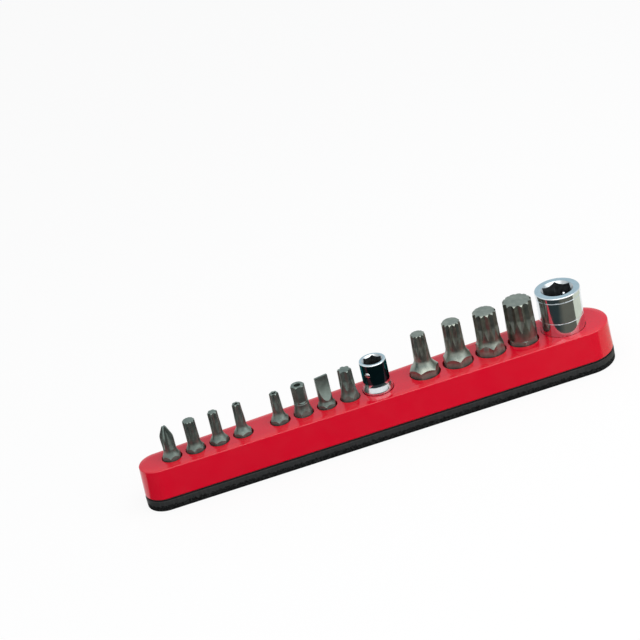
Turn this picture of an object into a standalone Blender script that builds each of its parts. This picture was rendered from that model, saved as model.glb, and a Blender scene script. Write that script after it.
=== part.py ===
"""Magnetic bit tray with twelve bits, a bit holder and an adapter.

Metres, +Z up. The tray stands on z = 0 and its hole row lies on y = 0.
+X runs along the row, from the small holes to the large one.
"""
import math

import bmesh
import bpy
from mathutils import Matrix, Vector

MODEL_NAME = "magnetic_bit_tray"
CUTTER_NAME = "cutters"

# Gaps that all pieces share
SEAT_GAP = 0.0003
BOND_GAP = 0.0002
CUT_OVERRUN = 0.001
MERGE_DISTANCE = 0.000001

# Hex shanks, measured across their flats, and their square drives
SMALL_HEX_FLATS = 0.00635
LARGE_HEX_FLATS = 0.010
SMALL_SQUARE_DRIVE = 0.00635
LARGE_SQUARE_DRIVE = 0.009525
SOCKET_CLEARANCE = 0.00035
LARGE_SOCKET_CLEARANCE = 0.0005
DRIVE_CLEARANCE = 0.00015

# Clearance of each kind of tool in its hole, on the diameter
SMALL_HOLE_CLEARANCE = 0.00047
LARGE_HOLE_CLEARANCE = 0.00045
HOLDER_HOLE_CLEARANCE = 0.0006
ADAPTER_HOLE_CLEARANCE = 0.0006

# Magnet sheet, bonding film and moulded block
MAGNET_THICKNESS = 0.0042
MAGNET_PROUD = 0.0001
MAGNET_EDGE_RADIUS = 0.0005
FILM_THICKNESS = 0.00015
FILM_INSET = 0.0006
BLOCK_HEIGHT = 0.01245
BLOCK_DRAFT = 0.00055
BLOCK_TOP_FILLET = 0.001

# Material left between and around the holes
SMALL_WEB = 0.0015
LARGE_WEB = 0.00145
GROUP_WEB = 0.0068
HOLDER_WEB = 0.00115
ADAPTER_WEB = 0.00162
SMALL_END_WALL = 0.00905
LARGE_END_WALL = 0.00852
SMALL_SIDE_WALL = 0.0032
LARGE_SIDE_WALL = 0.00287

# Shanks: where the hexagon's corners end and its foot chamfer
FOOT_CHAMFER = 0.0005
SMALL_CORNER_END = 0.01345
LARGE_CORNER_END = 0.0149
NECK_LEDGE = 0.00006
BLADE_ROOT_DEPTH = 0.0008
TIP_CHAMFER = 0.0003
BORE_DEPTH = 0.003

# Cross-tip bit
CROSS_LENGTH = 0.0259
CROSS_NECK_END = 0.0167
CROSS_NECK_RADIUS = 0.0025
CROSS_WING_RADIUS = 0.00262
CROSS_WING_THICKNESS = 0.001
CROSS_POINT_RADIUS = 0.00065
CROSS_POINT_THICKNESS = 0.0006
CROSS_CORE_RADIUS = 0.0014
CROSS_POINT_CORE_RADIUS = 0.0004

# Small twelve-point bit
SPLINE_SMALL_LENGTH = 0.0252
SPLINE_SMALL_NECK_END = 0.0167
SPLINE_SMALL_ROOT_RADIUS = 0.00245
SPLINE_SMALL_TIP_RADIUS = 0.0024

# Star bit with a plain tip
STAR_PLAIN_LENGTH = 0.0254
STAR_PLAIN_NECK_END = 0.0169
STAR_PLAIN_ROOT_RADIUS = 0.00205
STAR_PLAIN_TIP_RADIUS = 0.00195

# Star bit with a bored tip
STAR_BORED_LENGTH = 0.0255
STAR_BORED_NECK_END = 0.0169
STAR_BORED_ROOT_RADIUS = 0.00197
STAR_BORED_TIP_RADIUS = 0.0017
STAR_BORED_BORE_RADIUS = 0.0007

# Slim star bit with a bored tip
STAR_SLIM_LENGTH = 0.0248
STAR_SLIM_NECK_END = 0.0174
STAR_SLIM_ROOT_RADIUS = 0.00205
STAR_SLIM_TIP_RADIUS = 0.00178
STAR_SLIM_BORE_RADIUS = 0.00075

# Hexagon bit with a bored tip
HEX_BORED_LENGTH = 0.0249
HEX_BORED_NECK_END = 0.0176
HEX_BORED_NECK_RADIUS = 0.00285
HEX_BORED_TIP_RADIUS = 0.00275
HEX_BORED_BORE_RADIUS = 0.0013

# Flat-blade bit
SLOTTED_LENGTH = 0.0252
SLOTTED_NECK_END = 0.0157
SLOTTED_WIDTH = 0.0053
SLOTTED_TIP_THICKNESS = 0.0009

# Large star bit
STAR_LARGE_LENGTH = 0.0249
STAR_LARGE_NECK_END = 0.0169
STAR_LARGE_ROOT_RADIUS = 0.00288
STAR_LARGE_TIP_RADIUS = 0.00272

# Twelve-point bits on the large hexagon, from the smallest
SPLINE_1_LENGTH = 0.0295
SPLINE_1_NECK_END = 0.0193
SPLINE_1_ROOT_RADIUS = 0.0032
SPLINE_1_TIP_RADIUS = 0.00285
SPLINE_2_LENGTH = 0.0301
SPLINE_2_NECK_END = 0.0195
SPLINE_2_ROOT_RADIUS = 0.00372
SPLINE_2_TIP_RADIUS = 0.0036
SPLINE_3_LENGTH = 0.0298
SPLINE_3_CORNER_END = 0.0155
SPLINE_3_NECK_END = 0.0189
SPLINE_3_ROOT_RADIUS = 0.0046
SPLINE_3_TIP_RADIUS = 0.0046
SPLINE_4_LENGTH = 0.0299
SPLINE_4_CORNER_END = 0.0140
SPLINE_4_NECK_END = 0.0147
SPLINE_4_NECK_RADIUS = 0.0051
SPLINE_4_ROOT_RADIUS = 0.00568
SPLINE_4_TIP_RADIUS = 0.00568
SPLINE_TIP_CHAMFER = 0.00055

# Bit holder and its pin
HOLDER_LENGTH = 0.0252
HOLDER_WALL = 0.00128
HOLDER_COLLAR_STEP = 0.00075
HOLDER_COLLAR_TOP = 0.0138
HOLDER_SKIRT_HEIGHT = 0.0022
HOLDER_SHOULDER_STEP = 0.0001
HOLDER_SHOULDER_HEIGHT = 0.0009
HOLDER_RIM_CHAMFER = 0.0003
HOLDER_SOCKET_DEPTH = 0.012
HOLDER_DRIVE_DEPTH = 0.009
SOCKET_MOUTH_CHAMFER = 0.0006
PIN_RADIUS = 0.0011
PIN_DEPTH_BELOW_RIM = 0.0042
PIN_DOME_HEIGHT = 0.0004

# Adapter, its ball and the spring behind the ball
ADAPTER_LENGTH = 0.0292
ADAPTER_WALL = 0.00252
ADAPTER_RIM_STEP = 0.0002
ADAPTER_RIM_HEIGHT = 0.0021
ADAPTER_GROOVE_WIDTH = 0.0003
ADAPTER_GROOVE_DEPTH = 0.00015
ADAPTER_LOWER_GROOVE_HEIGHT = 0.0182
ADAPTER_RIM_CHAMFER = 0.0004
ADAPTER_SOCKET_DEPTH = 0.013
ADAPTER_DRIVE_DEPTH = 0.011
BALL_RADIUS = 0.001
BALL_PROUD = 0.0006
BALL_DEPTH_BELOW_RIM = 0.0054
BALL_HOLE_CLEARANCE = 0.0003
BALL_HOLE_END_WALL = 0.0005
SPRING_RADIUS = 0.0008
SPRING_BORE_RADIUS = 0.0004

# Depth of the flutes, run-out and places along the blade, as shares
STAR_DEPTH_SHARE = 0.28
SPLINE_DEPTH_SHARE = 0.185
FLUTE_RUN_OUT_SHARES = (0.0, 0.12, 0.3)
FLUTE_FADE_SHARES = (0.0, 0.6, 1.0)
ROOT_EMBED_SHARE = 0.85
FLARE_HEIGHT_SHARES = (0.16, 0.36, 0.62, 1.0)
SLOTTED_HEIGHT_SHARES = (0.0, 0.08, 0.2, 0.36, 0.56, 0.78, 1.0)
CROSS_HEIGHT_SHARES = (0.0, 0.18, 0.36, 0.6, 1.0)
CROSS_WING_SHARES = (0.8, 1.0, 1.0, 0.9, 0.0)

# How each tool is turned about its axis, in degrees
CROSS_TURNS = (13.0, 61.0)
SPLINE_SMALL_TURNS = (11.0, 10.0)
STAR_PLAIN_TURNS = (1.0, 7.0)
STAR_BORED_TURNS = (17.0, 11.0)
STAR_SLIM_TURNS = (12.0, 44.0)
HEX_BORED_TURNS = (5.0, 3.0)
SLOTTED_TURNS = (13.0, 10.0)
STAR_LARGE_TURNS = (36.0, 40.0)
SPLINE_1_TURNS = (0.0, 6.0)
SPLINE_2_TURNS = (24.0, 5.0)
SPLINE_3_TURNS = (25.0, 27.0)
SPLINE_4_TURNS = (20.0, 28.0)
HOLDER_TURN = 13.0
ADAPTER_TURN = 17.0
PIN_BEARING = HOLDER_TURN - 150.0
BALL_BEARING = ADAPTER_TURN + 30.0

# Facet counts
OUTLINE_STEPS = 18
TURN_STEPS = 24
HOLE_STEPS = 36
BODY_STEPS = 36
SECTION_POINTS = 24

# Sizes that follow from the ones above
HALF = 0.5
SMALL_HEX_RADIUS = SMALL_HEX_FLATS * HALF / math.cos(math.pi / 6)
LARGE_HEX_RADIUS = LARGE_HEX_FLATS * HALF / math.cos(math.pi / 6)
SMALL_SOCKET_FLATS = SMALL_HEX_FLATS + SOCKET_CLEARANCE
LARGE_SOCKET_FLATS = LARGE_HEX_FLATS + LARGE_SOCKET_CLEARANCE
SMALL_SOCKET_RADIUS = SMALL_SOCKET_FLATS * HALF / math.cos(math.pi / 6)
LARGE_SOCKET_RADIUS = LARGE_SOCKET_FLATS * HALF / math.cos(math.pi / 6)
HOLDER_RADIUS = SMALL_SOCKET_RADIUS + HOLDER_WALL
HOLDER_COLLAR_RADIUS = HOLDER_RADIUS + HOLDER_COLLAR_STEP
ADAPTER_RADIUS = LARGE_SOCKET_RADIUS + ADAPTER_WALL
ADAPTER_RIM_RADIUS = ADAPTER_RADIUS + ADAPTER_RIM_STEP
SMALL_HOLE_RADIUS = SMALL_HEX_RADIUS + SMALL_HOLE_CLEARANCE * HALF
LARGE_HOLE_RADIUS = LARGE_HEX_RADIUS + LARGE_HOLE_CLEARANCE * HALF
HOLDER_HOLE_RADIUS = HOLDER_COLLAR_RADIUS + HOLDER_HOLE_CLEARANCE * HALF
ADAPTER_HOLE_RADIUS = ADAPTER_RADIUS + ADAPTER_HOLE_CLEARANCE * HALF
SMALL_END_RADIUS = SMALL_HOLE_RADIUS + SMALL_SIDE_WALL
LARGE_END_RADIUS = ADAPTER_HOLE_RADIUS + LARGE_SIDE_WALL
FILM_FLOOR = MAGNET_THICKNESS + BOND_GAP
BLOCK_FLOOR = FILM_FLOOR + FILM_THICKNESS + BOND_GAP
BLOCK_TOP = BLOCK_FLOOR + BLOCK_HEIGHT
TOOL_FLOOR = MAGNET_THICKNESS + SEAT_GAP

# One entry a hole, from the small end: its radius and the web before it
HOLE_ROW = (
    (SMALL_HOLE_RADIUS, SMALL_END_WALL),
    (SMALL_HOLE_RADIUS, SMALL_WEB),
    (SMALL_HOLE_RADIUS, SMALL_WEB),
    (SMALL_HOLE_RADIUS, SMALL_WEB),
    (SMALL_HOLE_RADIUS, GROUP_WEB),
    (SMALL_HOLE_RADIUS, SMALL_WEB),
    (SMALL_HOLE_RADIUS, SMALL_WEB),
    (SMALL_HOLE_RADIUS, SMALL_WEB),
    (HOLDER_HOLE_RADIUS, HOLDER_WEB),
    (LARGE_HOLE_RADIUS, GROUP_WEB),
    (LARGE_HOLE_RADIUS, LARGE_WEB),
    (LARGE_HOLE_RADIUS, LARGE_WEB),
    (LARGE_HOLE_RADIUS, LARGE_WEB),
    (ADAPTER_HOLE_RADIUS, ADAPTER_WEB),
)


def row_length():
    """Length of the block's top outline: all webs, holes and both end walls."""
    return sum(2 * radius + web for radius, web in HOLE_ROW) + LARGE_END_WALL


def hole_places():
    """X of each hole, counted from the small end, with the outline centred."""
    places = []
    edge = -row_length() * HALF
    for radius, web in HOLE_ROW:
        edge += web + radius
        places.append(edge)
        edge += radius
    return places


# Scene, collections and materials
def clear_scene():
    for item in list(bpy.data.objects):
        bpy.data.objects.remove(item, do_unlink=True)


def make_collection(name):
    collection = bpy.data.collections.new(name)
    bpy.context.scene.collection.children.link(collection)
    return collection


def make_material(name, colour, roughness, metallic):
    material = bpy.data.materials.new(name)
    material.use_nodes = True
    shader = material.node_tree.nodes["Principled BSDF"]
    shader.inputs["Base Color"].default_value = (*colour, 1.0)
    shader.inputs["Roughness"].default_value = roughness
    shader.inputs["Metallic"].default_value = metallic
    return material


def steel_material(name):
    return make_material(name, (0.15, 0.17, 0.16), 0.35, 1.0)


def link_object(name, mesh, collection, material=None):
    item = bpy.data.objects.new(name, mesh)
    collection.objects.link(item)
    if material is not None:
        mesh.materials.append(material)
    return item


def link_cutter(name, mesh):
    item = link_object(name, mesh, bpy.data.collections[CUTTER_NAME])
    item.hide_render = True
    item.display_type = "WIRE"
    return item


def add_boolean(item, cutter, operation):
    modifier = item.modifiers.new(cutter.name, "BOOLEAN")
    modifier.operation = operation
    modifier.solver = "EXACT"
    modifier.object = cutter


def place(item, x, z, cutters=()):
    """Move a piece and the cutters that shape it to one spot on the row."""
    for thing in (item, *cutters):
        thing.location = (x, 0, z)


# Shapes
def outline_points(grow):
    """Tapered outline with round ends, tangent sides, grown outwards evenly."""
    small = SMALL_END_RADIUS + grow
    large = LARGE_END_RADIUS + grow
    half_length = row_length() * HALF + grow
    left = -half_length + small
    right = half_length - large
    lean = math.asin((large - small) / (right - left))
    points = []
    for step in range(OUTLINE_STEPS + 1):
        sweep = math.pi + 2 * lean
        angle = -sweep * HALF + sweep * step / OUTLINE_STEPS
        points.append((right + large * math.cos(angle), large * math.sin(angle)))
    for step in range(OUTLINE_STEPS + 1):
        sweep = math.pi - 2 * lean
        angle = math.pi - sweep * HALF + sweep * step / OUTLINE_STEPS
        points.append((left + small * math.cos(angle), small * math.sin(angle)))
    return points


def circle_points(x, radius, steps):
    """Points round one hole of the row."""
    points = []
    for step in range(steps):
        angle = 2 * math.pi * step / steps
        points.append((x + radius * math.cos(angle), radius * math.sin(angle)))
    return points


def plate_mesh(name, loops, floor, thickness):
    """Flat plate: a filled 2D curve, extruded by half its thickness.

    The first loop is the outline and the others are holes."""
    curve = bpy.data.curves.new(name, "CURVE")
    curve.dimensions = "2D"
    curve.fill_mode = "BOTH"
    curve.extrude = thickness * HALF
    for points in loops:
        spline = curve.splines.new("POLY")
        spline.points.add(len(points) - len(spline.points))
        for point, (x, y) in zip(spline.points, points):
            point.co = (x, y, 0, 1)
        spline.use_cyclic_u = True
    guide = bpy.data.objects.new(name + "_outline", curve)
    bpy.context.scene.collection.objects.link(guide)
    guide.location = (0, 0, floor + thickness * HALF)
    bpy.context.view_layer.update()
    graph = bpy.context.evaluated_depsgraph_get()
    mesh = bpy.data.meshes.new_from_object(guide.evaluated_get(graph))
    mesh.transform(guide.matrix_world)
    bpy.data.objects.remove(guide, do_unlink=True)
    bpy.data.curves.remove(curve)
    shape = bmesh.new()
    shape.from_mesh(mesh)
    bmesh.ops.remove_doubles(shape, verts=shape.verts, dist=MERGE_DISTANCE)
    bmesh.ops.recalc_face_normals(shape, faces=shape.faces)
    shape.to_mesh(mesh)
    shape.free()
    return mesh


def loft_mesh(name, rings):
    """Skin over rings of equal point counts, listed from the lowest up."""
    shape = bmesh.new()
    rows = [[shape.verts.new(point) for point in ring] for ring in rings]
    count = len(rows[0])
    for low, high in zip(rows, rows[1:]):
        for index in range(count):
            after = (index + 1) % count
            shape.faces.new((low[index], low[after], high[after], high[index]))
    shape.faces.new(list(reversed(rows[0])))
    shape.faces.new(rows[-1])
    mesh = bpy.data.meshes.new(name)
    shape.to_mesh(mesh)
    shape.free()
    return mesh


def cylinder_mesh(name, radius, floor, top, steps):
    shape = bmesh.new()
    bmesh.ops.create_cone(
        shape, cap_ends=True, segments=steps, radius1=radius, radius2=radius,
        depth=top - floor, matrix=Matrix.Translation((0, 0, (top + floor) * HALF)))
    mesh = bpy.data.meshes.new(name)
    shape.to_mesh(mesh)
    shape.free()
    return mesh


def hexagon_mesh(name, radius, floor, top, turn):
    """Hexagonal prism with a corner at the bearing given in degrees."""
    mesh = cylinder_mesh(name, radius, floor, top, 6)
    first = mesh.vertices[0].co
    bearing = math.atan2(first.y, first.x)
    mesh.transform(Matrix.Rotation(math.radians(turn) - bearing, 4, "Z"))
    return mesh


def turned_object(name, profile, collection, material, steps):
    """Profile of (radius, height), from the top down its outer side, turned."""
    mesh = bpy.data.meshes.new(name)
    points = [(radius, 0, height) for radius, height in profile]
    mesh.from_pydata(points, [(i, i + 1) for i in range(len(points) - 1)], [])
    item = link_object(name, mesh, collection, material)
    screw = item.modifiers.new("turn", "SCREW")
    screw.axis = "Z"
    screw.angle = 2 * math.pi
    screw.steps = steps
    screw.render_steps = steps
    screw.use_merge_vertices = True
    screw.merge_threshold = MERGE_DISTANCE
    screw.use_smooth_shade = True
    return item


# Sections of the blades, as rings of points
def fluted_ring(radius, height, flutes, depth_share, turn, limit=None):
    """Round section with evenly spaced flutes; limit trims what stands out."""
    ring = []
    for index in range(SECTION_POINTS):
        angle = 2 * math.pi * index / SECTION_POINTS
        dip = depth_share * (1 - math.cos(flutes * angle)) * HALF
        reach = radius * (1 - dip)
        if limit is not None:
            reach = min(reach, limit)
        bearing = angle + math.radians(turn)
        ring.append(Vector((reach * math.cos(bearing), reach * math.sin(bearing), height)))
    return ring


def hexagon_ring(radius, height, turn, limit=None):
    """Hexagon with the same point count as the round sections."""
    ring = []
    for index in range(SECTION_POINTS):
        angle = 2 * math.pi * index / SECTION_POINTS
        within = angle % (math.pi / 3) - math.pi / 6
        reach = radius * math.cos(math.pi / 6) / math.cos(within)
        if limit is not None:
            reach = min(reach, limit)
        bearing = angle + math.radians(turn)
        ring.append(Vector((reach * math.cos(bearing), reach * math.sin(bearing), height)))
    return ring


def flat_sided_ring(radius, half_thickness, height, turn):
    """Round section trimmed to a flat blade of the given half thickness."""
    ring = []
    for index in range(SECTION_POINTS):
        angle = 2 * math.pi * (index + HALF) / SECTION_POINTS
        across = radius * math.sin(angle)
        across = max(-half_thickness, min(half_thickness, across))
        ring.append(Vector((radius * math.cos(angle), across, height)))
    spin = Matrix.Rotation(math.radians(turn), 4, "Z")
    return [spin @ point for point in ring]


def cross_ring(reach, half_thickness, core, height, turn):
    """Four wings: two corners at each wing's end and one point between wings."""
    ring = []
    for wing in range(4):
        spin = Matrix.Rotation(math.radians(turn) + wing * math.pi * HALF, 4, "Z")
        ring.append(spin @ Vector((reach, -half_thickness, height)))
        ring.append(spin @ Vector((reach, half_thickness, height)))
        diagonal = core * math.sqrt(HALF)
        ring.append(spin @ Vector((diagonal, diagonal, height)))
    return ring


def cross_root_ring(radius, half_thickness, height, turn):
    """Round section whose points lie in line with the wings' points."""
    edge = math.sqrt(radius * radius - half_thickness * half_thickness)
    return cross_ring(edge, half_thickness, radius, height, turn)


def fluted_blade(name, sizes, flutes, depth_share, turn, chamfer):
    """Fluted blade from below the neck's end to the tip."""
    neck_end, length, root_radius, tip_radius = sizes
    run = length - neck_end
    rings = [fluted_ring(root_radius * ROOT_EMBED_SHARE, neck_end - BLADE_ROOT_DEPTH,
                         flutes, 0, turn)]
    for place_share, fade_share in zip(FLUTE_RUN_OUT_SHARES, FLUTE_FADE_SHARES):
        radius = root_radius + (tip_radius - root_radius) * place_share
        rings.append(fluted_ring(radius, neck_end + run * place_share, flutes,
                                 depth_share * fade_share, turn))
    rings.append(fluted_ring(tip_radius, length - chamfer, flutes, depth_share, turn))
    rings.append(fluted_ring(tip_radius, length, flutes, depth_share, turn,
                             tip_radius - chamfer))
    return link_cutter(name, loft_mesh(name, rings))


# Shanks
def flare_profile(corner_radius, corner_end, neck_radius, neck_end):
    """Hollow flare from the hexagon's corners up to the neck, lowest first."""
    points = []
    for share in FLARE_HEIGHT_SHARES:
        radius = neck_radius + (corner_radius - neck_radius) * (1 - share) ** 2
        points.append((radius, corner_end + (neck_end - corner_end) * share))
    return points


def make_shank(name, hex_radius, corner_end, neck_radius, neck_end, turn):
    """Turned shank with a flared neck, cut to a hexagon. Its foot is at z = 0."""
    outer = hex_radius + NECK_LEDGE
    profile = [(0, 0), (hex_radius - FOOT_CHAMFER, 0), (outer, FOOT_CHAMFER),
               (outer, corner_end)]
    profile += flare_profile(outer, corner_end, neck_radius, neck_end)
    profile.append((0, neck_end))
    profile.reverse()
    collection = bpy.data.collections[MODEL_NAME]
    item = turned_object(name, profile, collection, steel_material(name), TURN_STEPS)
    prism = link_cutter(name + "_hexagon", hexagon_mesh(
        name, hex_radius, -CUT_OVERRUN, neck_end + CUT_OVERRUN, turn))
    add_boolean(item, prism, "INTERSECT")
    return item, prism


def add_bore(item, radius, length):
    """Round blind hole in the tip of a bit."""
    bore = link_cutter(item.name + "_bore", cylinder_mesh(
        item.name, radius, length - BORE_DEPTH, length + CUT_OVERRUN, TURN_STEPS))
    add_boolean(item, bore, "DIFFERENCE")
    return bore


def finish_bit(shank, blade, hole, bore_radius=None, length=None):
    """Join the blade to its shank and stand the bit in its hole."""
    item, prism = shank
    add_boolean(item, blade, "UNION")
    pieces = [prism, blade]
    if bore_radius is not None:
        pieces.append(add_bore(item, bore_radius, length))
    place(item, hole_places()[hole], TOOL_FLOOR, pieces)
    return item


# The small bits
def make_cross_bit():
    name = "cross_bit"
    hex_turn, blade_turn = CROSS_TURNS
    shank = make_shank(name, SMALL_HEX_RADIUS, SMALL_CORNER_END, CROSS_NECK_RADIUS + NECK_LEDGE,
                       CROSS_NECK_END, hex_turn)
    run = CROSS_LENGTH - CROSS_NECK_END
    root = CROSS_WING_THICKNESS * HALF
    point = CROSS_POINT_THICKNESS * HALF
    rings = [cross_root_ring(CROSS_NECK_RADIUS * ROOT_EMBED_SHARE, root,
                             CROSS_NECK_END - BLADE_ROOT_DEPTH, blade_turn)]
    for place_share, wing_share in zip(CROSS_HEIGHT_SHARES, CROSS_WING_SHARES):
        height = CROSS_NECK_END + run * place_share
        reach = CROSS_POINT_RADIUS + (CROSS_WING_RADIUS - CROSS_POINT_RADIUS) * wing_share
        half_thickness = root + (point - root) * place_share
        core = CROSS_NECK_RADIUS + (CROSS_POINT_CORE_RADIUS - CROSS_NECK_RADIUS) * place_share
        if place_share > 0:
            core = CROSS_CORE_RADIUS
            core += (CROSS_POINT_CORE_RADIUS - CROSS_CORE_RADIUS) * place_share
        rings.append(cross_ring(reach, half_thickness, core, height, blade_turn))
    blade = link_cutter(name + "_blade", loft_mesh(name, rings))
    finish_bit(shank, blade, 0)


def make_fluted_bit(name, hole, sizes, flutes, depth_share, turns, family,
                    chamfer=TIP_CHAMFER, bore_radius=None, neck_radius=None):
    """Shank and fluted blade of one bit; family gives its hexagon's sizes."""
    hex_radius, corner_end = family
    neck_end, length, root_radius, tip_radius = sizes
    hex_turn, blade_turn = turns
    if neck_radius is None:
        neck_radius = root_radius + NECK_LEDGE
    shank = make_shank(name, hex_radius, corner_end, neck_radius, neck_end, hex_turn)
    blade = fluted_blade(name + "_blade", sizes, flutes, depth_share, blade_turn, chamfer)
    return finish_bit(shank, blade, hole, bore_radius, length)


def make_small_fluted_bits():
    family = (SMALL_HEX_RADIUS, SMALL_CORNER_END)
    make_fluted_bit(
        "spline_bit_small", 1,
        (SPLINE_SMALL_NECK_END, SPLINE_SMALL_LENGTH,
         SPLINE_SMALL_ROOT_RADIUS, SPLINE_SMALL_TIP_RADIUS),
        12, SPLINE_DEPTH_SHARE, SPLINE_SMALL_TURNS, family)
    make_fluted_bit(
        "star_bit_plain", 2,
        (STAR_PLAIN_NECK_END, STAR_PLAIN_LENGTH,
         STAR_PLAIN_ROOT_RADIUS, STAR_PLAIN_TIP_RADIUS),
        6, STAR_DEPTH_SHARE, STAR_PLAIN_TURNS, family)
    make_fluted_bit(
        "star_bit_bored", 3,
        (STAR_BORED_NECK_END, STAR_BORED_LENGTH,
         STAR_BORED_ROOT_RADIUS, STAR_BORED_TIP_RADIUS),
        6, STAR_DEPTH_SHARE, STAR_BORED_TURNS, family,
        bore_radius=STAR_BORED_BORE_RADIUS)
    make_fluted_bit(
        "star_bit_slim", 4,
        (STAR_SLIM_NECK_END, STAR_SLIM_LENGTH,
         STAR_SLIM_ROOT_RADIUS, STAR_SLIM_TIP_RADIUS),
        6, STAR_DEPTH_SHARE, STAR_SLIM_TURNS, family,
        bore_radius=STAR_SLIM_BORE_RADIUS)
    make_fluted_bit(
        "star_bit_large", 7,
        (STAR_LARGE_NECK_END, STAR_LARGE_LENGTH,
         STAR_LARGE_ROOT_RADIUS, STAR_LARGE_TIP_RADIUS),
        6, STAR_DEPTH_SHARE, STAR_LARGE_TURNS, family)


def make_hex_bit():
    name = "hex_bit_bored"
    hex_turn, blade_turn = HEX_BORED_TURNS
    shank = make_shank(name, SMALL_HEX_RADIUS, SMALL_CORNER_END, HEX_BORED_NECK_RADIUS,
                       HEX_BORED_NECK_END, hex_turn)
    heights = (HEX_BORED_NECK_END - BLADE_ROOT_DEPTH, HEX_BORED_LENGTH - TIP_CHAMFER)
    rings = [hexagon_ring(HEX_BORED_TIP_RADIUS, height, blade_turn) for height in heights]
    rings.append(hexagon_ring(HEX_BORED_TIP_RADIUS, HEX_BORED_LENGTH, blade_turn,
                              HEX_BORED_TIP_RADIUS - TIP_CHAMFER))
    blade = link_cutter(name + "_blade", loft_mesh(name, rings))
    finish_bit(shank, blade, 5, HEX_BORED_BORE_RADIUS, HEX_BORED_LENGTH)


def make_slotted_bit():
    name = "slotted_bit"
    hex_turn, blade_turn = SLOTTED_TURNS
    radius = SLOTTED_WIDTH * HALF
    shank = make_shank(name, SMALL_HEX_RADIUS, SMALL_CORNER_END, radius + NECK_LEDGE,
                       SLOTTED_NECK_END, hex_turn)
    run = SLOTTED_LENGTH - SLOTTED_NECK_END
    rings = [flat_sided_ring(radius * ROOT_EMBED_SHARE, radius,
                             SLOTTED_NECK_END - BLADE_ROOT_DEPTH, blade_turn)]
    tip = SLOTTED_TIP_THICKNESS * HALF
    for share in SLOTTED_HEIGHT_SHARES:
        half_thickness = tip + (radius - tip) * (1 - share) ** 2
        rings.append(flat_sided_ring(radius, half_thickness,
                                     SLOTTED_NECK_END + run * share, blade_turn))
    blade = link_cutter(name + "_blade", loft_mesh(name, rings))
    finish_bit(shank, blade, 6)


# The bits on the large hexagon
def make_large_bits():
    family = (LARGE_HEX_RADIUS, LARGE_CORNER_END)
    make_fluted_bit(
        "spline_bit_1", 9,
        (SPLINE_1_NECK_END, SPLINE_1_LENGTH, SPLINE_1_ROOT_RADIUS, SPLINE_1_TIP_RADIUS),
        12, SPLINE_DEPTH_SHARE, SPLINE_1_TURNS, family, chamfer=TIP_CHAMFER)
    make_fluted_bit(
        "spline_bit_2", 10,
        (SPLINE_2_NECK_END, SPLINE_2_LENGTH, SPLINE_2_ROOT_RADIUS, SPLINE_2_TIP_RADIUS),
        12, SPLINE_DEPTH_SHARE, SPLINE_2_TURNS, family, chamfer=SPLINE_TIP_CHAMFER)
    make_fluted_bit(
        "spline_bit_3", 11,
        (SPLINE_3_NECK_END, SPLINE_3_LENGTH, SPLINE_3_ROOT_RADIUS, SPLINE_3_TIP_RADIUS),
        12, SPLINE_DEPTH_SHARE, SPLINE_3_TURNS, (LARGE_HEX_RADIUS, SPLINE_3_CORNER_END),
        chamfer=SPLINE_TIP_CHAMFER)
    make_fluted_bit(
        "spline_bit_4", 12,
        (SPLINE_4_NECK_END, SPLINE_4_LENGTH, SPLINE_4_ROOT_RADIUS, SPLINE_4_TIP_RADIUS),
        12, SPLINE_DEPTH_SHARE, SPLINE_4_TURNS, (LARGE_HEX_RADIUS, SPLINE_4_CORNER_END),
        chamfer=SPLINE_TIP_CHAMFER, neck_radius=SPLINE_4_NECK_RADIUS)


# Holder and adapter
def socket_cutter(name, socket_radius, depth, length, turn):
    """Hexagonal recess from the top of a tool."""
    return link_cutter(name, hexagon_mesh(
        name, socket_radius, length - depth, length + CUT_OVERRUN, turn))


def mouth_cutter(name, socket_radius, length):
    """Cone that opens a hexagonal recess at its mouth."""
    shape = bmesh.new()
    flats_radius = socket_radius * math.cos(math.pi / 6)
    low = flats_radius - SOCKET_MOUTH_CHAMFER
    high = socket_radius + CUT_OVERRUN
    rise = high - low
    floor = length + CUT_OVERRUN - rise
    bmesh.ops.create_cone(
        shape, cap_ends=True, segments=BODY_STEPS, radius1=low, radius2=high,
        depth=rise, matrix=Matrix.Translation((0, 0, floor + rise * HALF)))
    mesh = bpy.data.meshes.new(name)
    shape.to_mesh(mesh)
    shape.free()
    return link_cutter(name, mesh)


def drive_cutter(name, side, depth, turn):
    """Square recess from the foot of a tool."""
    shape = bmesh.new()
    bmesh.ops.create_cube(shape, size=1)
    scale = Matrix.Diagonal((side, side, depth + CUT_OVERRUN, 1))
    middle = Matrix.Translation((0, 0, (depth - CUT_OVERRUN) * HALF))
    spin = Matrix.Rotation(math.radians(turn), 4, "Z")
    bmesh.ops.transform(shape, matrix=middle @ spin @ scale, verts=shape.verts)
    mesh = bpy.data.meshes.new(name)
    shape.to_mesh(mesh)
    shape.free()
    return link_cutter(name, mesh)


def radial_cutter(name, radius, start, end, height, bearing):
    """Round cross hole that runs outwards from one radius to another."""
    mesh = cylinder_mesh(name, radius, start, end, TURN_STEPS)
    mesh.transform(Matrix.Rotation(math.pi * HALF, 4, "Y"))
    mesh.transform(Matrix.Rotation(math.radians(bearing), 4, "Z"))
    mesh.transform(Matrix.Translation((0, 0, height)))
    return link_cutter(name, mesh)


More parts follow.
